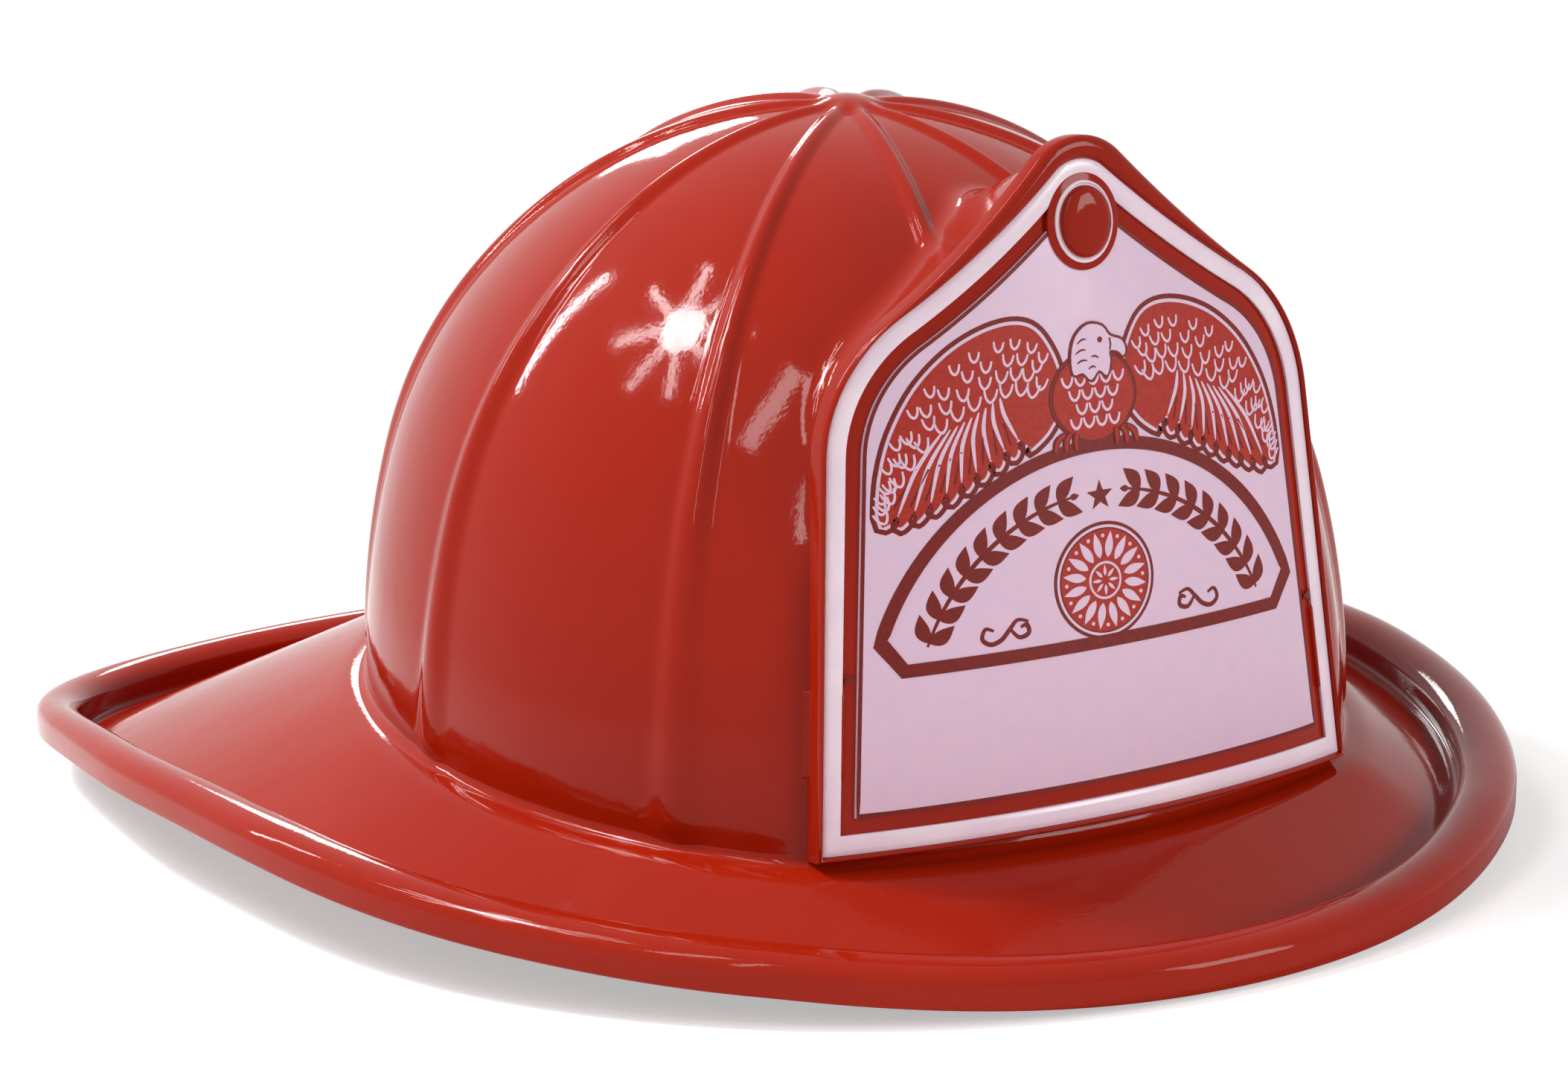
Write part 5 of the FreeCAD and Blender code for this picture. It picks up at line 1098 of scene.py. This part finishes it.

# %% [markdown]
# The two reds of the stamp are matt foils, slightly broken up where the plate pressed less.
# The dark one also paints the shade line round the edge of the face.

# %% Print finishes
for drawing, name, wear, low, high, dull, print_name in (
        (dark, "dark_stamp_and_shade", 900.0, (104, 14, 4), (122, 20, 8), 0.45, "print_dark_and_shade"),
        (bright, "bright_stamp", 800.0, (158, 34, 18), (172, 44, 28), 0.42, "print_red")):
    ink = Finish(name, Specular_IOR_Level=0.3, Roughness=dull)
    ink.feed(Base_Color=ink.ramp(ink.noise(wear, 4.0), 0.35, low, 0.7, high))
    drawing.finish(print_name, ink)
pale_ink.finish("print_pale", paper)

# %% [markdown]
# ## Pegs and sockets
# Four pegs behind the frontpiece pass through the shell, and a spring nut bites on each of
# them. Lower down, four pockets inside the crown take the blades of the suspension keys.
# A peg is a circle pulled out ring by ring; a pocket is a cube whose underside is inset and
# pushed up, and whose far side is drawn back into the crown's wall.

# %% Pegs
PEG_RADIUS, PEG_START, PEG_REACH = 2.5, 1.5, 11.1
PEG_LEVELS = ((PEG_REACH - 0.8, 1), (PEG_REACH - 0.2, 0.85), (PEG_REACH, 0.55))
lean = Matrix((Vector((1, 0, 0)), Vector(BACK), Vector(UP))).transposed()
pegs_bm = bmesh.new()
for across, up in ((-44, 16), (44, 16), (-44, 74), (44, 74)):
    start = bmesh.ops.create_circle(pegs_bm, segments=28, radius=PEG_RADIUS)
    bend = BEND - math.sqrt(BEND ** 2 - across ** 2)
    foot_point = Vector(FOOT + np.array([across, 0, 0]) + UP * up + BACK * bend)
    for vertex in start["verts"]:
        vertex.co = lean @ Vector((vertex.co.x, PEG_START, vertex.co.y)) + foot_point
    ring = list({edge for vertex in start["verts"] for edge in vertex.link_edges})
    middle = foot_point + lean @ Vector((0, PEG_START, 0))
    for depth, share in PEG_LEVELS:
        ring, moved = pulled(pegs_bm, ring)
        goal = foot_point + lean @ Vector((0, depth, 0))
        width = max((vertex.co - middle).length for vertex in moved)
        for vertex in moved:
            vertex.co = goal + (vertex.co - middle) * (PEG_RADIUS * share / width)
        middle = goal
bmesh.ops.holes_fill(pegs_bm, edges=pegs_bm.edges, sides=0)
bmesh.ops.scale(pegs_bm, vec=(MM, MM, MM), verts=pegs_bm.verts)
piece("frontpiece_pegs", pegs_bm, red)

# %% Sockets for the suspension keys
KEY_TURNS = (36, 144, -144, -36)
SOCKET_IN, SOCKET_OUT, SOCKET_WIDTH, SOCKET_LOW, SOCKET_HIGH = 101.7, 109.0, 18.6, 18.0, 36.0
POCKET_IN, POCKET_OUT, POCKET_TOP, POCKET_SIDE, SUNK = 103.7, 106.7, 34.0, 2.0, 1.2


def linked(corners):
    """The corners and every vertex that edges join to them."""
    found, queue = set(corners), list(corners)
    while queue:
        vertex = queue.pop()
        found.add(vertex)
        queue += [edge.other_vert(vertex) for edge in vertex.link_edges
                  if edge.other_vert(vertex) not in found]
    return found


def sink(vertex):
    """Move a vertex outwards until it lies in the crown's wall."""
    for _ in range(4):
        spot = np.array(vertex.co)
        length = np.linalg.norm(spot)
        goal = crown_distance((spot / length)[None])[0][0] - SUNK
        vertex.co.x *= 1 + (goal - length) / length
        vertex.co.y *= 1 + (goal - length) / length


sockets_bm = bmesh.new()
for turn in KEY_TURNS:
    cube = bmesh.ops.create_cube(sockets_bm, size=1)["verts"]
    for vertex in cube:
        vertex.co = (SOCKET_IN if vertex.co.x < 0 else SOCKET_OUT, vertex.co.y * SOCKET_WIDTH,
                     SOCKET_LOW if vertex.co.z < 0 else SOCKET_HIGH)
    under = next(face for face in {face for vertex in cube for face in vertex.link_faces}
                 if face.calc_center_median().z < SOCKET_LOW + 0.1)
    bmesh.ops.inset_individual(sockets_bm, faces=[under], thickness=POCKET_SIDE)
    for vertex in under.verts:
        vertex.co.x = min((POCKET_IN, POCKET_OUT), key=lambda x: abs(x - vertex.co.x))
    pushed = bmesh.ops.extrude_discrete_faces(sockets_bm, faces=[under])["faces"][0]
    for vertex in pushed.verts:
        vertex.co.z = POCKET_TOP
    spin = Matrix.Rotation(math.radians(90 - turn), 4, "Z")
    for vertex in linked(cube + pushed.verts[:]):
        far = vertex.co.x > SOCKET_OUT - 1
        vertex.co = spin @ vertex.co
        if far:
            sink(vertex)
bmesh.ops.scale(sockets_bm, vec=(MM, MM, MM), verts=sockets_bm.verts)
rounded(piece("key_sockets", sockets_bm, red, crisp=30), 0.4)

# %% [markdown]
# ## Plastics and metals of the inside
# The headband and the size straps are black polypropylene with a fine sandblasted grain, as
# the steel of the mould leaves it; the knob and the keys are a greyer nylon. The nuts are
# blued spring steel and the screws are bright zinc, slightly streaked by the plating bath.

# %% Finishes of the inside


def grained(name, low, high, rough):
    """Moulded plastic with a fine even grain and a slow change of tone."""
    finish = Finish(name, Specular_IOR_Level=0.4)
    finish.feed(Base_Color=finish.ramp(finish.noise(35.0, 3.0), 0.35, low, 0.7, high))
    fine = finish.noise(1400.0, 2.0)
    finish.feed(Roughness=finish.spread(fine, 0.3, 0.7, rough - 0.06, rough + 0.08),
                Normal=finish.bump(fine, 0.00006, 0.8))
    return finish


def metal(name, low, high, rough):
    """Plated steel with faint streaks."""
    finish = Finish(name, Metallic=1.0)
    streaks = finish.noise(300.0, 5.0, Distortion=1.5)
    finish.feed(Base_Color=finish.ramp(streaks, 0.35, low, 0.65, high),
                Roughness=finish.spread(streaks, 0.3, 0.7, rough, rough + 0.15),
                Normal=finish.bump(streaks, 0.00002, 0.5))
    return finish


black = grained("black_polypropylene", (26, 26, 28), (36, 36, 38), 0.42)
grey = grained("grey_nylon", (92, 94, 98), (112, 114, 118), 0.38)
blued = metal("spring_steel", (96, 100, 112), (140, 144, 152), 0.28)
zinc = metal("zinc_steel", (176, 178, 180), (206, 206, 204), 0.22)

# %% [markdown]
# Headband, straps, ratchet, keys and screws already have their true shape as solids. What a
# solid lacks is the small radius that every moulded or turned edge has, so each is copied,
# its triangles are joined into whole faces, and a Bevel modifier rounds its edges.

# %% Parts of the suspension and the ratchet
for node, finish, width in (
        ("headband", black, 0.35), ("size_strap_right", black, 0.25),
        ("size_strap_left", black, 0.25), ("ratchet_base", black, 0.4),
        ("ratchet_cover", black, 0.5), ("pinion", grey, 0.12), ("size_knob", grey, 0.3),
        ("strap_studs", grey, 0.25), ("knob_screw", zinc, 0.15), ("cover_screws", zinc, 0.12),
        ("push_nuts", blued, 0.08), ("crown_rivet", grey, 0.2),
        ("suspension_key_front_left", grey, 0.35), ("suspension_key_front_right", grey, 0.35),
        ("suspension_key_rear_left", grey, 0.35), ("suspension_key_rear_right", grey, 0.35)):
    polished(node, finish, width)

# %% [markdown]
# At the ends of the knob's travel, the pinion's copy would touch the rack of one strap, so its
# teeth are a little shorter here.

# %% Shorter teeth
AXIS_HEIGHT, TOOTH_ROOT, SHORTER = 4.0, 3.6, 0.12
for vertex in bpy.data.objects["pinion_finished"].data.vertices:
    sideways, up = vertex.co.x / MM, vertex.co.z / MM - AXIS_HEIGHT
    away = math.hypot(sideways, up)
    if away > TOOTH_ROOT:
        kept = (away - SHORTER) / away
        vertex.co.x = sideways * kept * MM
        vertex.co.z = (up * kept + AXIS_HEIGHT) * MM
print("pinion teeth shorter by", SHORTER, "mm")

# %% [markdown]
# ## Crown straps
# Two straps of nylon webbing cross over the head. Webbing is a flat weave with a rounded
# selvedge, so each strap is a thin oval section swept along its path: straight up from the
# key, then over in half an ellipse. Its own UV map runs along and across it in millimetres,
# and the weave is drawn there, so that the ribs follow the strap over the bend.

# %% Webbing


def wave(value, length):
    return (value * (2 * math.pi / length)).maths("SINE")


def ridges(value, length, power):
    """A wave between 0 and 1 with broad tops and narrow valleys."""
    return (wave(value, length) * 0.5 + 0.5).maths("POWER", power)


def map_axes(finish):
    """The two coordinates of a piece's own map, in millimetres."""
    place = finish.node("ShaderNodeUVMap", {"uv_map": "UVMap"})
    first = finish.node("ShaderNodeSeparateXYZ", {}, {0: place})
    return first, Sums(finish, first.socket.node.outputs[1])


webbing = Finish("nylon_webbing", Roughness=0.72, Specular_IOR_Level=0.25)
web_run, web_across = map_axes(webbing)
warp = ridges(web_across, 1.1, 0.5)
pick = wave(web_run + (web_across / 1.1).maths("FLOOR") * 0.75, 1.5) * 0.5 + 0.5
thread = warp * (pick * 0.7 + 0.3) * 0.8 + webbing.noise(1800.0, 3.0) * 0.2
webbing.feed(Base_Color=webbing.ramp(thread, 0.1, (24, 24, 27), 0.8, (62, 62, 66)),
             Normal=webbing.bump(thread, 0.00035, 1.0))

# %% Crown straps
WEB_THICK, WEB_HALF, WEB_APART = 1.5, 9.5, 1.8
WEB_REACH, WEB_SPRING, WEB_LOW, WEB_RISE = 94.3, 38.0, 28.0, 92.0


def swept_strap(name, turn, layer, stands_for):
    reach = WEB_REACH - WEB_THICK / 2
    rise = WEB_RISE + layer * WEB_APART - WEB_SPRING + WEB_THICK / 2
    bend = np.linspace(0, math.pi, 121)
    legs = np.linspace(WEB_LOW, WEB_SPRING, 6)[:-1]
    path = np.vstack([np.column_stack([np.full(5, reach), legs]),
                      np.column_stack([reach * np.cos(bend), WEB_SPRING + rise * np.sin(bend)]),
                      np.column_stack([np.full(5, -reach), legs[::-1]])])
    way = np.gradient(path, axis=0)
    way /= np.linalg.norm(way, axis=1)[:, None]
    out = np.column_stack([way[:, 1], -way[:, 0]])
    run = np.concatenate([[0], np.cumsum(np.linalg.norm(np.diff(path, axis=0), axis=1))])
    corner = np.linspace(0, 2 * math.pi, 25)
    wide = WEB_HALF * np.sign(np.cos(corner)) * np.abs(np.cos(corner)) ** 0.22
    deep = WEB_THICK / 2 * np.sign(np.sin(corner)) * np.abs(np.sin(corner)) ** 0.7
    spin = math.radians(90 - turn)
    rows = []
    for here, outwards in zip(path, out):
        spots = here + outwards * deep[:, None]
        rows.append([Vector((spot[0] * math.cos(spin) - side * math.sin(spin),
                             spot[0] * math.sin(spin) + side * math.cos(spin), spot[1])) * MM
                     for spot, side in zip(spots, wide)])
    bm = wrapped(rows, 0.01 * MM, lambda row, column: (run[row], wide[column] + WEB_HALF))
    fill_ends(bm)
    piece(name, bm, webbing, (stands_for,), 60)


swept_strap("webbing_lower", 36, 0, "crown_strap_lower")
swept_strap("webbing_upper", -36, 1, "crown_strap_upper")

# %% [markdown]
# ## Brow and nape pads
# Each pad is a strip of foam in knitted fabric, sewn across every two centimetres. The
# strip starts as a thin closed form against the band. A cloth simulation then blows it up
# by the pressure inside it, while the hem, the seams and the side on the band are held, so
# the fabric swells into rows of small cushions with the puckers that real seams have. The
# form starts at 1.9 mm and swells by about a millimetre more.

# %% Knitted fabric
knit = Finish("knitted_fabric", Roughness=0.85, Specular_IOR_Level=0.2, Sheen_Weight=0.25)
knit_u, knit_v = map_axes(knit)
slant = (knit_u.maths("MODULO", 1.6) - 0.8).maths("ABSOLUTE") * 0.9
yarn = (ridges(knit_v + slant, 1.1, 0.6) * ridges(knit_u, 0.8, 0.4) * 0.85
        + knit.noise(2200.0, 2.0) * 0.15)
knit.feed(Base_Color=knit.ramp(yarn, 0.1, (34, 35, 38), 0.85, (78, 80, 84)),
          Normal=knit.bump(yarn, 0.00025, 0.9))

# %% Section of a pad
PAD_PARTS, PAD_HEM, PAD_EDGE, PAD_FRONT, SEAM = 14, 0.6, 0.7, 1.9, 0.9


def pad_section(low, high):
    """Points round a pad: how far in from the band, how high, and whether held."""
    climb = [(high - low - 2 * PAD_HEM) * part / (PAD_PARTS - 1) for part in range(PAD_PARTS)]
    return ([(0.0, low + PAD_HEM + up, True) for up in climb] + [(PAD_EDGE, high, True)]
            + [(PAD_FRONT, high - PAD_HEM - up, up in (climb[0], climb[-1])) for up in climb]
            + [(PAD_EDGE, low, True), (0.0, low + PAD_HEM, True)])


print("points round a pad:", len(pad_section(0, 10)))

# %% Simulation
PRESSURE, FRAMES, CAP = 300, 20, 2.2


def swell(made, pins, centre, out):
    """Blow a pad up with its pins held, and keep what it reaches inside the band."""
    before = np.array([vertex.co for vertex in made.data.vertices])
    group = made.vertex_groups.new(name="held")
    for index, value in enumerate(pins):
        group.add([index], value, "REPLACE")
    cloth = made.modifiers.new("cloth", "CLOTH")
    for setting, value in (
            ("quality", 8), ("mass", 0.05), ("tension_stiffness", 3),
            ("compression_stiffness", 3), ("shear_stiffness", 3), ("bending_stiffness", 0.05),
            ("use_pressure", True), ("uniform_pressure_force", PRESSURE),
            ("vertex_group_mass", "held")):
        setattr(cloth.settings, setting, value)
    cloth.settings.effector_weights.gravity = 0
    cloth.collision_settings.use_collision = False
    for frame_number in range(1, FRAMES + 1):
        bpy.context.scene.frame_set(frame_number)
    found = made.evaluated_get(bpy.context.evaluated_depsgraph_get()).to_mesh()
    after = np.array([vertex.co for vertex in found.vertices])
    made.modifiers.clear()
    move = after - before
    far_off = np.linalg.norm(move, axis=1)
    cap = np.minimum(far_off, CAP * MM) / np.maximum(far_off, 1e-9)
    place = before + move * cap[:, None]
    away = np.hypot(place[:, 0], place[:, 1] - centre * MM)
    limit = np.minimum(1, out * MM / away)
    place[:, 0] *= limit
    place[:, 1] = centre * MM + (place[:, 1] - centre * MM) * limit
    made.data.vertices.foreach_set("co", place.ravel())
    made.data.update()
    bpy.context.scene.frame_set(1)
    print(f"{made.name}: swelled by up to {far_off.max() / MM:.2f} mm")


# %% Pads
COLUMN_WIDTH = 2.2


def sewn_pad(name, centre, out, half_angle, facing, low, high, stands_for, channels):
    """Closed strip on a circle: columns go round the band, rows round its section."""
    length = 2 * math.radians(half_angle) * out
    columns = int(round(length / COLUMN_WIDTH / channels)) * channels
    section = pad_section(low, high)
    swing = np.radians(np.linspace(-half_angle, half_angle, columns + 1))
    from_end = np.minimum(np.arange(columns + 1), np.arange(columns + 1)[::-1])
    shrink = np.sqrt(1 - (1 - np.clip(from_end / 3, 0, 1)) ** 2) * 0.25 + 0.75
    middle = (low + high) / 2
    rows, held = [], {}
    for inward, up, fixed in section:
        row = []
        for column in range(columns + 1):
            seam = column % (columns // channels) == 0
            share = 0.5 if from_end[column] < 1 else 1
            radius = out - (SEAM if seam and inward > 1 else inward * share)
            spot = Vector((radius * math.sin(swing[column]) * facing,
                           centre + facing * radius * math.cos(swing[column]),
                           middle + (up - middle) * shrink[column])) * MM
            held[tuple(round(c, 7) for c in spot)] = 1.0 if fixed or seam else 0.0
            row.append(spot)
        rows.append(row)
    bm = wrapped(rows, 0.01 * MM, lambda row, column: (swing[column] * out, section[row][1]))
    fill_ends(bm)
    pins = [held.get(tuple(round(c, 7) for c in vertex.co), 1.0) for vertex in bm.verts]
    made = piece(name, bm, knit, (stands_for,), 80)
    swell(made, pins, centre, out)
    smoother = made.modifiers.new("smooth", "SUBSURF")
    smoother.levels = smoother.render_levels = 1


sewn_pad("brow_cushion", -21.0, 75.7, 75, -1, -7.0, 25.0, "brow_pad", 11)
sewn_pad("nape_cushion", 21.0, 74.0, 30, 1, -4.5, 12.5, "nape_pad", 4)
